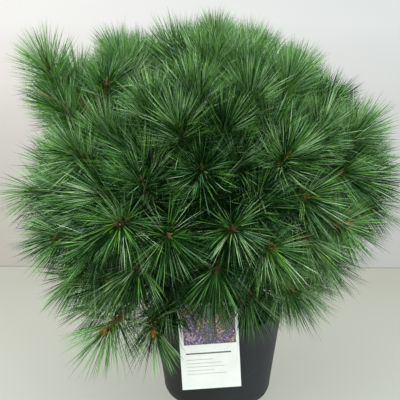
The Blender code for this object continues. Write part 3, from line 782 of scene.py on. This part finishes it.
def inner_sprays(own, plans):
    """Short shoots along a mass's own bough, with the dull needles of earlier years, dealt still
    darker greens as painted shade.
    """
    plan = plans[own]
    start = plan["bough_start"]
    if start is None:
        return []
    rng = random.Random(f"{SEED} inner {plan['name']}")
    sprays = []
    for share in INNER_SHARES:
        fork = bough_point(start, plan["stem_start"], plan["heading"], share)
        along = plan["heading"]
        out = Matrix.Rotation(rng.uniform(0.0, math.tau), 3, along) @ along.orthogonal().normalized()
        axis = (along * 0.6 + out + UP * 0.15).normalized()
        end = fork + axis * rng.uniform(*INNER_TWIG)
        if in_space(end, own, plans):
            sprays.append((end, axis, fork, INNER_SIZE))
    return sprays


def basis(axis):
    """Two unit vectors square to an axis, as arrays."""
    side = axis.orthogonal().normalized()
    return np.array(side), np.array(axis.cross(side))


def clear_of_pot_and_card(points):
    """Which needles, given as (needles, points, xyz), miss the pot's wall and the card."""
    radius = np.hypot(points[..., 0], points[..., 1])
    in_pot = (points[..., 2] < POT_HEIGHT + 0.001) & (radius < RIM_RADIUS + 0.002)
    depth = points @ np.array(CARD_FRONT) - CARD_OUT
    sideways = points @ np.array(CARD_ACROSS) - CARD_SHIFT
    behind = depth < 0.001
    beside = np.abs(sideways) > CARD_WIDTH / 2.0 + 0.003
    over = points[..., 2] > CARD_BOTTOM + CARD_HEIGHT + 0.002
    hits = np.zeros(len(points), dtype=bool)
    for index in range(points.shape[1] - 1):
        crossing = behind[:, index] != behind[:, index + 1]
        outside = (beside[:, index] & beside[:, index + 1]) | (over[:, index] & over[:, index + 1])
        hits |= crossing & ~outside
    return ~(in_pot.any(axis=1) | hits)


def spray_needles(place, axis, size, bundles, spread, rng):
    """A spray's needles as control points (foot, middle, tip), and each bundle's foot and heading."""
    side, other = basis(axis)
    forward = np.array(axis)
    share = ((np.arange(bundles) + 0.5) / bundles) ** FOOT_CROWDING
    turn = np.arange(bundles) * GOLDEN_ANGLE + rng.normal(0.0, TURN_SPREAD, bundles)
    widest = POLAR_AT_FOOT - RISING_POLAR_CUT * max(axis.z, 0.0)
    polar = blend(widest, POLAR_AT_TIP, share) + rng.normal(0.0, POLAR_SPREAD, bundles)
    polar = np.clip(polar, *POLAR_LIMITS)
    radial = np.cos(turn)[:, None] * side + np.sin(turn)[:, None] * other
    heading = np.cos(polar)[:, None] * forward + np.sin(polar)[:, None] * radial
    foot = np.array(place) + forward * (SHOOT_STANDOUT - SHOOT_LENGTH * (1.0 - share))[:, None]
    foot = foot + radial * FOOT_OUT
    start = np.repeat(foot, BUNDLE_NEEDLES, axis=0)
    count = len(start)
    aim = np.repeat(heading, BUNDLE_NEEDLES, axis=0) + rng.normal(0.0, spread, (count, 3))
    aim[:, 2] -= LOW_SAG * (1.0 - rise_share(place, *SAGGING))
    aim /= np.linalg.norm(aim, axis=1)[:, None]
    bundle_length = np.repeat(rng.uniform(*BUNDLE_LENGTHS, bundles), BUNDLE_NEEDLES)
    length = NEEDLE_LENGTH * size * bundle_length * rng.uniform(*NEEDLE_LENGTHS, count)
    level = np.sqrt(np.clip(1.0 - aim[:, 2] ** 2, 0.0, 1.0))
    bend = rng.normal(0.0, NEEDLE_BEND, (count, 3))
    bend[:, 2] -= NEEDLE_DROOP * level * rng.uniform(*DROOPS, count)
    middle = start + aim * (length * 0.5)[:, None]
    tip = start + aim * length[:, None] + bend
    return start, middle, tip, foot, heading


def square_sides(start, tip):
    """For each line from start to tip, two unit vectors square to it."""
    line = tip - start
    line /= np.linalg.norm(line, axis=1)[:, None]
    helper = np.where(np.abs(line[:, 2:3]) < 0.9, (0.0, 0.0, 1.0), (1.0, 0.0, 0.0))
    side = np.cross(line, helper)
    side /= np.linalg.norm(side, axis=1)[:, None]
    return side, np.cross(line, side)


def curve_point(start, middle, tip, share):
    """Points at one share of the way along curves bent by their middle control points."""
    return (start * (1.0 - share) ** 2 + middle * 2.0 * share * (1.0 - share)
            + tip * share ** 2)


def repeated(pattern, count, per_copy):
    """One pattern of triangles, repeated for every copy of its vertices."""
    offsets = np.arange(count)[:, None, None] * per_copy
    return (np.array(pattern)[None, :, :] + offsets).reshape(-1, 3)


def blade_arrays(start, middle, tip, width, rng):
    """Thin curved needles: their vertices and triangles."""
    side, other = square_sides(start, tip)
    roll = rng.uniform(0.0, math.pi, len(start))[:, None]
    across = side * np.cos(roll) + other * np.sin(roll)
    rows = []
    for share, half in zip(BLADE_SHARES, BLADE_HALF_WIDTHS):
        centre = curve_point(start, middle, tip, share)
        rows += [centre - across * (half * width), centre + across * (half * width)]
    rows.append(tip)
    vertices = np.stack(rows, axis=1).reshape(-1, 3)
    return vertices, repeated(BLADE_PATTERN, len(start), len(rows))


def blade_colours(feet, blades):
    """The colour of every triangle: the needle's foot has one and the rest another."""
    other_faces = len(BLADE_PATTERN) - FOOT_FACES
    return np.stack([feet] * FOOT_FACES + [blades] * other_faces, axis=1).ravel()


def sheath_arrays(start, middle, tip, width):
    """Three-sided pointed sheaths and scales: their vertices and triangles."""
    side, other = square_sides(start, tip)
    rows = []
    for share, radius in zip(SHEATH_SHARES, SHEATH_RADII):
        centre = curve_point(start, middle, tip, share)
        for corner in range(3):
            turn = math.tau * corner / 3.0
            out = side * math.cos(turn) + other * math.sin(turn)
            rows.append(centre + out * (radius * width))
    rows.append(tip)
    vertices = np.stack(rows, axis=1).reshape(-1, 3)
    return vertices, repeated(SHEATH_PATTERN, len(start), len(rows))


def spray_light(place, axis, luck_and_painted_shade):
    """How fresh and pale a spray is, from 0 to 1: more so up and out on the crown, partly fresh
    growth and partly painted light, with painted shade in the middle.
    """
    height = (place.z - LIGHT_FROM) / LIGHT_SPAN
    distance = (place - CROWN_MIDDLE).length / CROWN_RADIUS - LIGHT_DISTANCE
    light = LIGHT_BASE + LIGHT_BY_HEIGHT * height + LIGHT_BY_DISTANCE * distance
    light = light + LIGHT_BY_RISE * axis.z + luck_and_painted_shade
    # Painted light and shade at the listed spots
    for spot, radius, strength in PAINTED_LIGHT_AND_SHADE_SPOTS:
        light += strength * math.exp(-((place - spot).length / radius) ** 2)
    return min(max(light, 0.0), 1.0)


def deal_colours(bundles, light, rng):
    """Colours of the feet and blades, mostly one to a bundle; the lower the spray's light, the more
    of the darker greens, which are painted shade.
    """
    feet_shares = (1.0 - light) * np.array(DULL_SHADED_FEET) + light * np.array(FRESH_LIT_FEET)
    blade_shares = (1.0 - light) * np.array(DULL_SHADED_BLADES) + light * np.array(FRESH_LIT_BLADES)
    feet = np.repeat(rng.choice(len(FOOT_GREENS), bundles, p=feet_shares), BUNDLE_NEEDLES)
    blades = np.repeat(rng.choice(len(BLADE_GREENS), bundles, p=blade_shares), BUNDLE_NEEDLES)
    lone = rng.random(len(blades)) < LONE_NEEDLES
    blades[lone] = rng.choice(len(BLADE_GREENS), int(lone.sum()), p=blade_shares)
    return feet, len(FOOT_GREENS) + blades


def shoot_scales(place, axis, rng):
    """Short papery scales that stand off round the end of a shoot."""
    side, other = basis(axis)
    forward = np.array(axis)
    turn = np.arange(SCALE_COUNT) * GOLDEN_ANGLE + rng.uniform(0.0, math.tau)
    along = rng.uniform(*SCALE_SPAN, SCALE_COUNT)
    radial = np.cos(turn)[:, None] * side + np.sin(turn)[:, None] * other
    heading = forward * 0.75 + radial * rng.uniform(*SCALE_LEAN, SCALE_COUNT)[:, None]
    foot = np.array(place) + forward * along[:, None] + radial * 0.001
    tip = foot + heading * rng.uniform(*SCALE_LENGTHS, SCALE_COUNT)[:, None]
    return sheath_arrays(foot, (foot + tip) / 2.0 + radial * 0.0006, tip, SCALE_WIDTH)


def bud_arrays(place, axis, length, radius, sides):
    """One pointed bud."""
    points = [place + axis * (length * share) for share in BUD_SHARES]
    return tube_arrays(points, [radius * share for share in BUD_RADII], sides)


def bundle_count(name, size, density):
    """How many bundles of needles a spray has."""
    thinning = MASS_DENSITY.get(name, 1.0) * QUICK_SHARE
    bundles = blend(*BUNDLE_COUNTS, density)
    return int(bundles * thinning * (1.0 if size == 1.0 else FINE_BUNDLE_SHARE))


def add_needles(heap, plan, index, spray, rng, draws):
    """The needles of one spray, now and then a dead one; gives each bundle's foot and heading."""
    place, axis, _, size = spray
    density = rise_share(place, *DENSER)
    bundles = bundle_count(plan["name"], size, density)
    spread = blend(*NEEDLE_SPREADS, density)
    length_share = rng.uniform(*SPRAY_LENGTHS) * MASS_SIZES.get(plan["name"], 1.0)
    length_share *= SPRAY_SIZES.get((plan["name"], index), 1.0)
    start, middle, tip, foot, heading = spray_needles(
        place, axis, size * length_share, bundles, spread, draws)
    keep = clear_of_pot_and_card(np.stack([start, middle, tip], axis=1))
    width = NEEDLE_WIDTH / math.sqrt(QUICK_SHARE)
    blades = blade_arrays(start[keep], middle[keep], tip[keep], width, draws)
    # Finer and inner sprays are made darker: painted shade between the main tufts
    luck_and_painted_shade = rng.uniform(-LIGHT_LUCK, LIGHT_LUCK) - (FINE_PAINTED_SHADE if size < 1.0 else 0.0)
    foot_greens, blade_greens = deal_colours(bundles, spray_light(place, axis, luck_and_painted_shade), draws)
    heap.add(*blades, blade_colours(foot_greens[keep], blade_greens[keep]))
    if rng.random() < DEAD_SHARE:
        pick = rng.randrange(bundles) * BUNDLE_NEEDLES
        span = slice(pick, pick + rng.choice((1, 2)))
        dead = blade_arrays(start[span], middle[span] + DEAD_DROP * 0.5, tip[span] + DEAD_DROP,
                            NEEDLE_WIDTH, draws)
        heap.add(*dead, len(FOOT_GREENS) + len(BLADE_GREENS) + rng.randrange(len(DEAD_BROWNS)))
    return foot[::BUNDLES_PER_SHEATH], heading[::BUNDLES_PER_SHEATH]


def add_buds(heap, shoot_end, axis, size, brown, rng):
    """One bud at a shoot's end and smaller ones round it."""
    heap.add(*bud_arrays(
        shoot_end - axis * 0.002, axis, END_BUD_LENGTH * size, END_BUD_RADIUS, 6), brown)
    side = axis.orthogonal().normalized()
    first = rng.uniform(0.0, math.tau)
    for bud in range(SIDE_BUDS):
        out = Matrix.Rotation(first + math.tau * bud / SIDE_BUDS, 3, axis) @ side
        heading = (axis * 0.8 + out * 0.6).normalized()
        length = rng.uniform(*SIDE_BUD_LENGTHS) * size
        foot = shoot_end - axis * 0.003 + out * 0.0016
        heap.add(*bud_arrays(foot, heading, length, SIDE_BUD_RADIUS, 4), brown)


def add_spray(heaps, plan, index, spray, rng, draws):
    """One spray: its needles, the bundles' bases and scales, its twig and its buds."""
    needles, bases, twigs, buds = heaps
    place, axis, fork, size = spray
    foot, heading = add_needles(needles, plan, index, spray, rng, draws)
    brown = int(any((place - spot).length < radius for spot, radius in ORANGE_SPOTS))
    sheath_tip = foot + heading * SHEATH_LENGTH
    bases.add(*sheath_arrays(foot, (foot + sheath_tip) / 2.0, sheath_tip, SHEATH_WIDTH), brown)
    bases.add(*shoot_scales(place, axis, draws), brown)
    shoot_end = place + axis * SHOOT_STANDOUT
    shoot_foot = place - axis * (SHOOT_LENGTH - SHOOT_STANDOUT)
    elbow = fork.lerp(shoot_foot, 0.5) - UP * TWIG_SAG
    path = [fork, elbow, shoot_foot, place - axis * 0.012, shoot_end]
    twigs.add(*tube_arrays(path, TWIG_RADII, *TWIG_SKIN))
    add_buds(buds, shoot_end, axis, size, brown, rng)


def make_foliage(plans):
    """Needles, bundle bases, twigs and buds of all masses, each kind in joined pieces."""
    greens = needle_materials()
    scale_browns = [noisy_material("scale_" + name, SCALE_LOOK, colours)
                    for name, colours in SCALE_BROWNS.items()]
    bud_browns = [noisy_material("bud_" + name, BUD_LOOK, colours)
                  for name, colours in BUD_BROWNS.items()]
    shoot_brown = noisy_material("shoot_bark", SHOOT_LOOK, SHOOT_COLOURS)
    for number, first in enumerate(range(0, len(plans), MASSES_PER_PIECE), start=1):
        heaps = [Heap() for _ in range(4)]
        needles, bases, twigs, buds = heaps
        nodes = []
        for own in range(first, min(first + MASSES_PER_PIECE, len(plans))):
            plan = plans[own]
            nodes.append("needles_" + plan["name"])
            draws = np.random.default_rng(1000 + own)
            rng = random.Random(2000 + own)
            stem_end = plan["seed_point"] + plan["outward"] * LEAD_STANDOUT
            path = [plan["stem_start"].lerp(stem_end, share) for share in STEM_SHARES]
            twigs.add(*tube_arrays(path, STEM_RADII, *STEM_SKIN))
            for index, spray in enumerate(grow_sprays(own, plans) + inner_sprays(own, plans)):
                add_spray(heaps, plan, index, spray, rng, draws)
        settle(needles.piece(f"needle_sprays_{number}", greens), "needles", *nodes)
        settle(bases.piece(f"bundle_bases_{number}", scale_browns), "needles")
        settle(twigs.piece(f"twigs_{number}", [shoot_brown]), "bark")
        settle(buds.piece(f"buds_{number}", bud_browns), "bark")


def limb_piece(name, points, radii, skin, bark, node):
    """One limb with the relief of its bark, in place of its node."""
    limb = Heap()
    limb.add(*tube_arrays(points, radii, *skin))
    settle(limb.piece(name, [bark]), "bark", node)


def make_limbs(plans):
    """Trunk and boughs."""
    bark = noisy_material("bark", BARK_LOOK, BARK_COLOURS)
    foot = SOIL_LEVEL + 0.0003
    rise = TRUNK_TIP.z - SOIL_LEVEL - 0.0003
    heights = [foot + rise * (ring / TRUNK_RINGS) ** TRUNK_CROWDING
               for ring in range(TRUNK_RINGS + 1)]
    limb_piece("trunk_bark", [trunk_point(height) for height in heights],
               [trunk_radius(height) for height in heights], TRUNK_SKIN, bark, "trunk")
    for plan in plans:
        start = plan["bough_start"]
        if start is None:
            continue
        base_radius = max(BOUGH_TO_TRUNK * trunk_radius(start.z), BOUGH_BASE_RADIUS_MIN)
        shares = [step / BOUGH_STEPS for step in range(BOUGH_STEPS + 1)]
        points = [bough_point(start, plan["stem_start"], plan["heading"], share)
                  for share in shares]
        radii = [blend(base_radius, BOUGH_TIP_RADIUS, share) for share in shares]
        name = plan["name"]
        limb_piece("bough_bark_" + name, points, radii, BOUGH_SKIN, bark, "bough_" + name)


def pot_profile():
    """The pot's section from the inner rim over the outside and back up the inner wall."""
    band_foot = POT_HEIGHT - RIM_BAND_HEIGHT
    inner_rim = RIM_RADIUS - RIM_THICKNESS
    rounded = POT_HEIGHT - RIM_ROUNDING
    wall_top = (RIM_RADIUS - RIM_BAND_STANDOUT, band_foot - 0.0012)
    outer = [
        (inner_rim, rounded), (inner_rim + RIM_ROUNDING, POT_HEIGHT),
        (RIM_RADIUS - RIM_ROUNDING, POT_HEIGHT), (RIM_RADIUS, rounded),
        (RIM_RADIUS - 0.0004, band_foot + 0.0006), (RIM_RADIUS - 0.0009, band_foot - 0.0002),
        wall_top,
    ]
    for share in WALL_SHARES:
        outer.append((blend(wall_top[0], SHOULDER_RADIUS, share),
                      blend(wall_top[1], SHOULDER_HEIGHT, share)))
    for step in range(FOOT_STEPS + 1):
        turn = step / FOOT_STEPS * FOOT_TURN
        outer.append((blend(FOOT_RADIUS, SHOULDER_RADIUS, math.cos(turn)),
                      SHOULDER_HEIGHT * (1.0 - math.sin(turn))))
    outer.append((FOOT_RADIUS, 0.0))
    outer.append((0.0, 0.0))
    inset = WALL_THICKNESS
    inner = [(0.0, FLOOR_THICKNESS), (FOOT_RADIUS - inset * FLOOR_EDGE_INSET, FLOOR_THICKNESS),
             (SHOULDER_RADIUS - inset, SHOULDER_HEIGHT),
             (RIM_RADIUS - RIM_BAND_STANDOUT - inset, band_foot)]
    return outer + inner


def make_pot():
    """The nursery pot, turned, with drainage notches cut in its foot."""
    profile = pot_profile()
    bm = bmesh.new()
    verts = [bm.verts.new((radius, 0.0, height)) for radius, height in profile]
    edges = [bm.edges.new(pair) for pair in zip(verts, verts[1:] + verts[:1])]
    bmesh.ops.spin(bm, geom=verts + edges, cent=(0, 0, 0), axis=(0, 0, 1), angle=math.tau,
                   steps=POT_STEPS, use_merge=True)
    bmesh.ops.remove_doubles(bm, verts=bm.verts, dist=0.00003)
    bmesh.ops.recalc_face_normals(bm, faces=bm.faces)
    pot = object_from_bmesh("nursery_pot", bm)

    bm = bmesh.new()
    for index in range(DRAIN_NOTCHES):
        notch = bmesh.ops.create_cube(bm, size=1.0)["verts"]
        bmesh.ops.scale(bm, verts=notch, vec=NOTCH_SIZE)
        place = ((FOOT_RADIUS + SHOULDER_RADIUS) / 2.0, 0.0, NOTCH_SIZE[2])
        bmesh.ops.translate(bm, verts=notch, vec=place)
        turn = Matrix.Rotation(math.tau * (index + NOTCH_FIRST_TURN) / DRAIN_NOTCHES, 3, UP)
        bmesh.ops.rotate(bm, verts=notch, cent=(0, 0, 0), matrix=turn)
    cutter = object_from_bmesh("notches", bm)
    cut = pot.modifiers.new("drain", "BOOLEAN")
    cut.operation = "DIFFERENCE"
    cut.object = cutter
    bpy.context.view_layer.update()
    depsgraph = bpy.context.evaluated_depsgraph_get()
    made = bpy.data.meshes.new_from_object(pot.evaluated_get(depsgraph))
    pot.modifiers.clear()
    pot.data = made
    bpy.data.objects.remove(cutter, do_unlink=True)
    pot.data.shade_smooth()
    pot.data.set_sharp_from_angle(angle=math.radians(40.0))
    pot.data.materials.clear()
    pot.data.materials.append(pot_material())
    settle(pot, "pot_plastic", "pot")


def soil_surface(top):
    """A crumbly round surface with a skirt and a flat underside."""
    turns = [math.tau * step / SOIL_STEPS for step in range(SOIL_STEPS)]
    vertices = [(0.0, 0.0, SOIL_LEVEL - 0.001)]
    for ring in range(1, SOIL_RINGS + 1):
        for turn in turns:
            where = on_circle(top * ring / SOIL_RINGS, turn, 0.0)
            rise = 0.0022 * noise.fractal(where * 90.0, 1.0, 2.0, 4) - 0.0015
            vertices.append((where.x, where.y, SOIL_LEVEL + rise))
    vertices += [on_circle(top, turn, SOIL_LEVEL - SOIL_DEPTH) for turn in turns]
    vertices.append((0.0, 0.0, SOIL_LEVEL - SOIL_DEPTH))
    triangles = []
    last = 1 + SOIL_RINGS * SOIL_STEPS
    for step in range(SOIL_STEPS):
        after = (step + 1) % SOIL_STEPS
        triangles.append((0, 1 + step, 1 + after))
        triangles.append((last + step, last + SOIL_STEPS, last + after))
        for ring in range(SOIL_RINGS):
            a = 1 + ring * SOIL_STEPS + step
            b = 1 + ring * SOIL_STEPS + after
            triangles.append((a, a + SOIL_STEPS, b + SOIL_STEPS))
            triangles.append((a, b + SOIL_STEPS, b))
    return vertices, triangles


def make_soil():
    """Crumbly potting mix with bark chips and a few white perlite grains."""
    rng = random.Random(31)
    top = RIM_RADIUS - RIM_BAND_STANDOUT - WALL_THICKNESS - SOIL_EDGE_GAP
    heap = Heap()
    heap.add(*soil_surface(top))
    for index in range(SOIL_CRUMBS):
        radius = top * math.sqrt(rng.random()) * 0.97
        middle = on_circle(radius, rng.uniform(0.0, math.tau), SOIL_LEVEL + 0.0002)
        heading = Vector((rng.gauss(0, 1), rng.gauss(0, 1), rng.gauss(0, 0.3))).normalized()
        half = heading * (rng.uniform(0.002, 0.008) / 2)
        size = rng.uniform(0.0006, 0.0018)
        material = 1
        if index % PERLITE_EVERY == 0:
            material = 2
            half = heading * 0.001
            size = rng.uniform(0.0008, 0.0013)
        points = [middle - half, middle, middle + half]
        heap.add(*tube_arrays(points, [size * 0.6, size, size * 0.5], 5), material)
    materials = [noisy_material("potting_mix", SOIL_LOOK, SOIL_COLOURS),
                 noisy_material("bark_chips", BARK_LOOK, BARK_COLOURS),
                 noisy_material("perlite", PERLITE_LOOK, PERLITE_COLOURS)]
    settle(heap.piece("potting_mix", materials), "potting_soil", "soil")


def card_material():
    """White card: an abstract block of soft colours above plain ruled lines."""
    paint = Paint("card_print", 0.36, 0.45)
    across, outward, height = paint.axes()
    facing = paint.result("LESS_THAN", outward, 0.0)

    def printed(low, high, left, right):
        """One on the card's face between these edges, else zero."""
        level = paint.inside(height, low, high)
        area = paint.result("MULTIPLY", level, paint.inside(across, left, right))
        return paint.result("MULTIPLY", area, facing)

    dots = paint.result("MULTIPLY", paint.noise(420.0, 2.0, 0.6), CARD_DOTS_SHARE)
    wash = paint.result("ADD", paint.noise(26.0, 2.0, 0.5), dots)
    tones = paint.ramp(paint.share(wash, *CARD_TONE_SPAN), CARD_TONES)
    paper = paint.ramp(paint.noise(40.0, 3.0, 0.5), CARD_PAPER)
    colour = paint.mix(printed(*CARD_BLOCK), paper, tones)
    for middle, weight, right, grey in CARD_RULES:
        rule = printed(middle - weight / 2.0, middle + weight / 2.0, CARD_RULE_LEFT, right)
        colour = paint.mix(rule, colour, (grey, grey, grey))
    return paint.coat(colour)


def make_card():
    """The plant card, a thin plate with a slight bow, and the clip behind it."""
    bm = bmesh.new()
    grid = []
    for row in range(CARD_ROWS + 1):
        line = []
        up = row / CARD_ROWS
        for column in range(CARD_COLUMNS + 1):
            along = column / CARD_COLUMNS
            bow = -CARD_BOW * (1.0 - (2.0 * along - 1.0) ** 2) * up ** 2
            place = ((along - 0.5) * CARD_WIDTH, bow, (up - 0.5) * CARD_HEIGHT)
            line.append(bm.verts.new(place))
        grid.append(line)
    for below, above in zip(grid, grid[1:]):
        for column in range(CARD_COLUMNS):
            bm.faces.new((below[column], below[column + 1], above[column + 1], above[column]))
    card = object_from_bmesh("plant_card", bm)
    solid = card.modifiers.new("thickness", "SOLIDIFY")
    solid.thickness = CARD_THICKNESS
    solid.offset = 0.0
    middle = CARD_BOTTOM + CARD_HEIGHT / 2.0
    card.location = CARD_FRONT * CARD_OUT + CARD_ACROSS * CARD_SHIFT + UP * middle
    card.rotation_euler = (0.0, CARD_ROLL, CARD_TURN)
    card.data.materials.append(card_material())
    settle(card, "label_plastic", "label_card")
    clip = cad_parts["label_clip"]
    clip.data.materials.clear()
    clip.data.materials.append(noisy_material("clip_plastic", PLASTIC_LOOK, PLASTIC_COLOURS))
    return card


def ground_material():
    """Pale table, darker towards its back edge and to the right, and behind its back edge a ground
    that grows paler with distance and to the left: painted light and shade.
    """
    paint = Paint("ground_paint", 0.8, 0.2)
    across, away, _ = paint.axes()
    rightward = paint.share(across, -SIDE_REACH, SIDE_REACH)
    # The table darkens towards its back edge and to the right: painted shade
    table = paint.ramp(paint.share(away, TABLE_FRONT, TABLE_BACK_EDGE), TABLE_COLOURS_AND_SHADE)
    table = paint.mix(rightward, table, TABLE_RIGHT_PAINTED_SHADE, "MULTIPLY")
    # The ground behind is paler with distance and to the left: painted light
    distance = paint.share(away, TABLE_BACK_EDGE, FAR_END)
    far_left = paint.ramp(distance, FAR_LEFT_COLOURS_AND_LIGHT)
    far = paint.mix(rightward, far_left, paint.ramp(distance, FAR_RIGHT_COLOURS_AND_LIGHT))
    back = paint.result("ADD", away, paint.result("MULTIPLY", across, TABLE_EDGE_SLOPE))
    line_start = TABLE_BACK_EDGE - TABLE_EDGE_LINE / 2.0
    past_table = paint.result("GREATER_THAN", back, line_start)
    past_line = paint.result("GREATER_THAN", back, line_start + TABLE_EDGE_LINE)
    edged = paint.mix(past_table, table, EDGE_COLOUR)
    return paint.coat(paint.mix(past_line, edged, far))


def make_stage():
    """The ground that the pot stands on."""
    bpy.ops.mesh.primitive_plane_add(size=GROUND_SIZE, location=(0.0, 0.0, 0.0))
    ground = bpy.context.active_object
    ground.name = "ground"
    ground.data.materials.append(ground_material())
    return ground


def add_sun(name, sun, piece, state, shadow=True):
    """A soft distant light that reaches one piece only (INCLUDE) or all but it (EXCLUDE)."""
    come_from, strength, width, colour = sun
    data = bpy.data.lights.new(name, "SUN")
    data.energy = strength
    data.angle = math.radians(width)
    data.color = colour
    data.use_shadow = shadow
    light = new_object(name, data)
    light.location = come_from
    light.rotation_euler = Vector(come_from).to_track_quat("Z", "Y").to_euler()
    reach = bpy.data.collections.new(name + "_reach")
    reach.objects.link(piece)
    light.light_linking.receiver_collection = reach
    reach.collection_objects[0].light_linking.link_state = state


def make_lights(ground, card):
    """Soft light from above and the left, an even fill, and even light on table and card."""
    add_sun("key", KEY_SUN, ground, "EXCLUDE")
    add_sun("fill", FILL_SUN, ground, "EXCLUDE")
    add_sun("table", TABLE_SUN, ground, "INCLUDE", shadow=False)
    add_sun("card", CARD_SUN, card, "INCLUDE", shadow=False)
    world = bpy.data.worlds.new("studio")
    world.use_nodes = True
    background = world.node_tree.nodes["Background"].inputs
    background["Color"].default_value = SKY_COLOUR
    background["Strength"].default_value = SKY_STRENGTH
    bpy.context.scene.world = world
    bpy.context.scene.view_settings.view_transform = "Standard"


def make_camera():
    """The photograph's view."""
    data = bpy.data.cameras.new("camera")
    data.sensor_width = SENSOR_WIDTH
    data.lens = SENSOR_WIDTH * FOCAL_PIXELS / FRAME_PIXELS
    camera = new_object("camera", data)
    camera.location = CAMERA_PLACE
    camera.rotation_euler = (math.pi / 2.0 - CAMERA_PITCH, 0.0, 0.0)
    bpy.context.scene.camera = camera


make_camera()
make_pot()
make_soil()
make_lights(make_stage(), make_card())
crown = mass_plans()
make_foliage(crown)
make_limbs(crown)
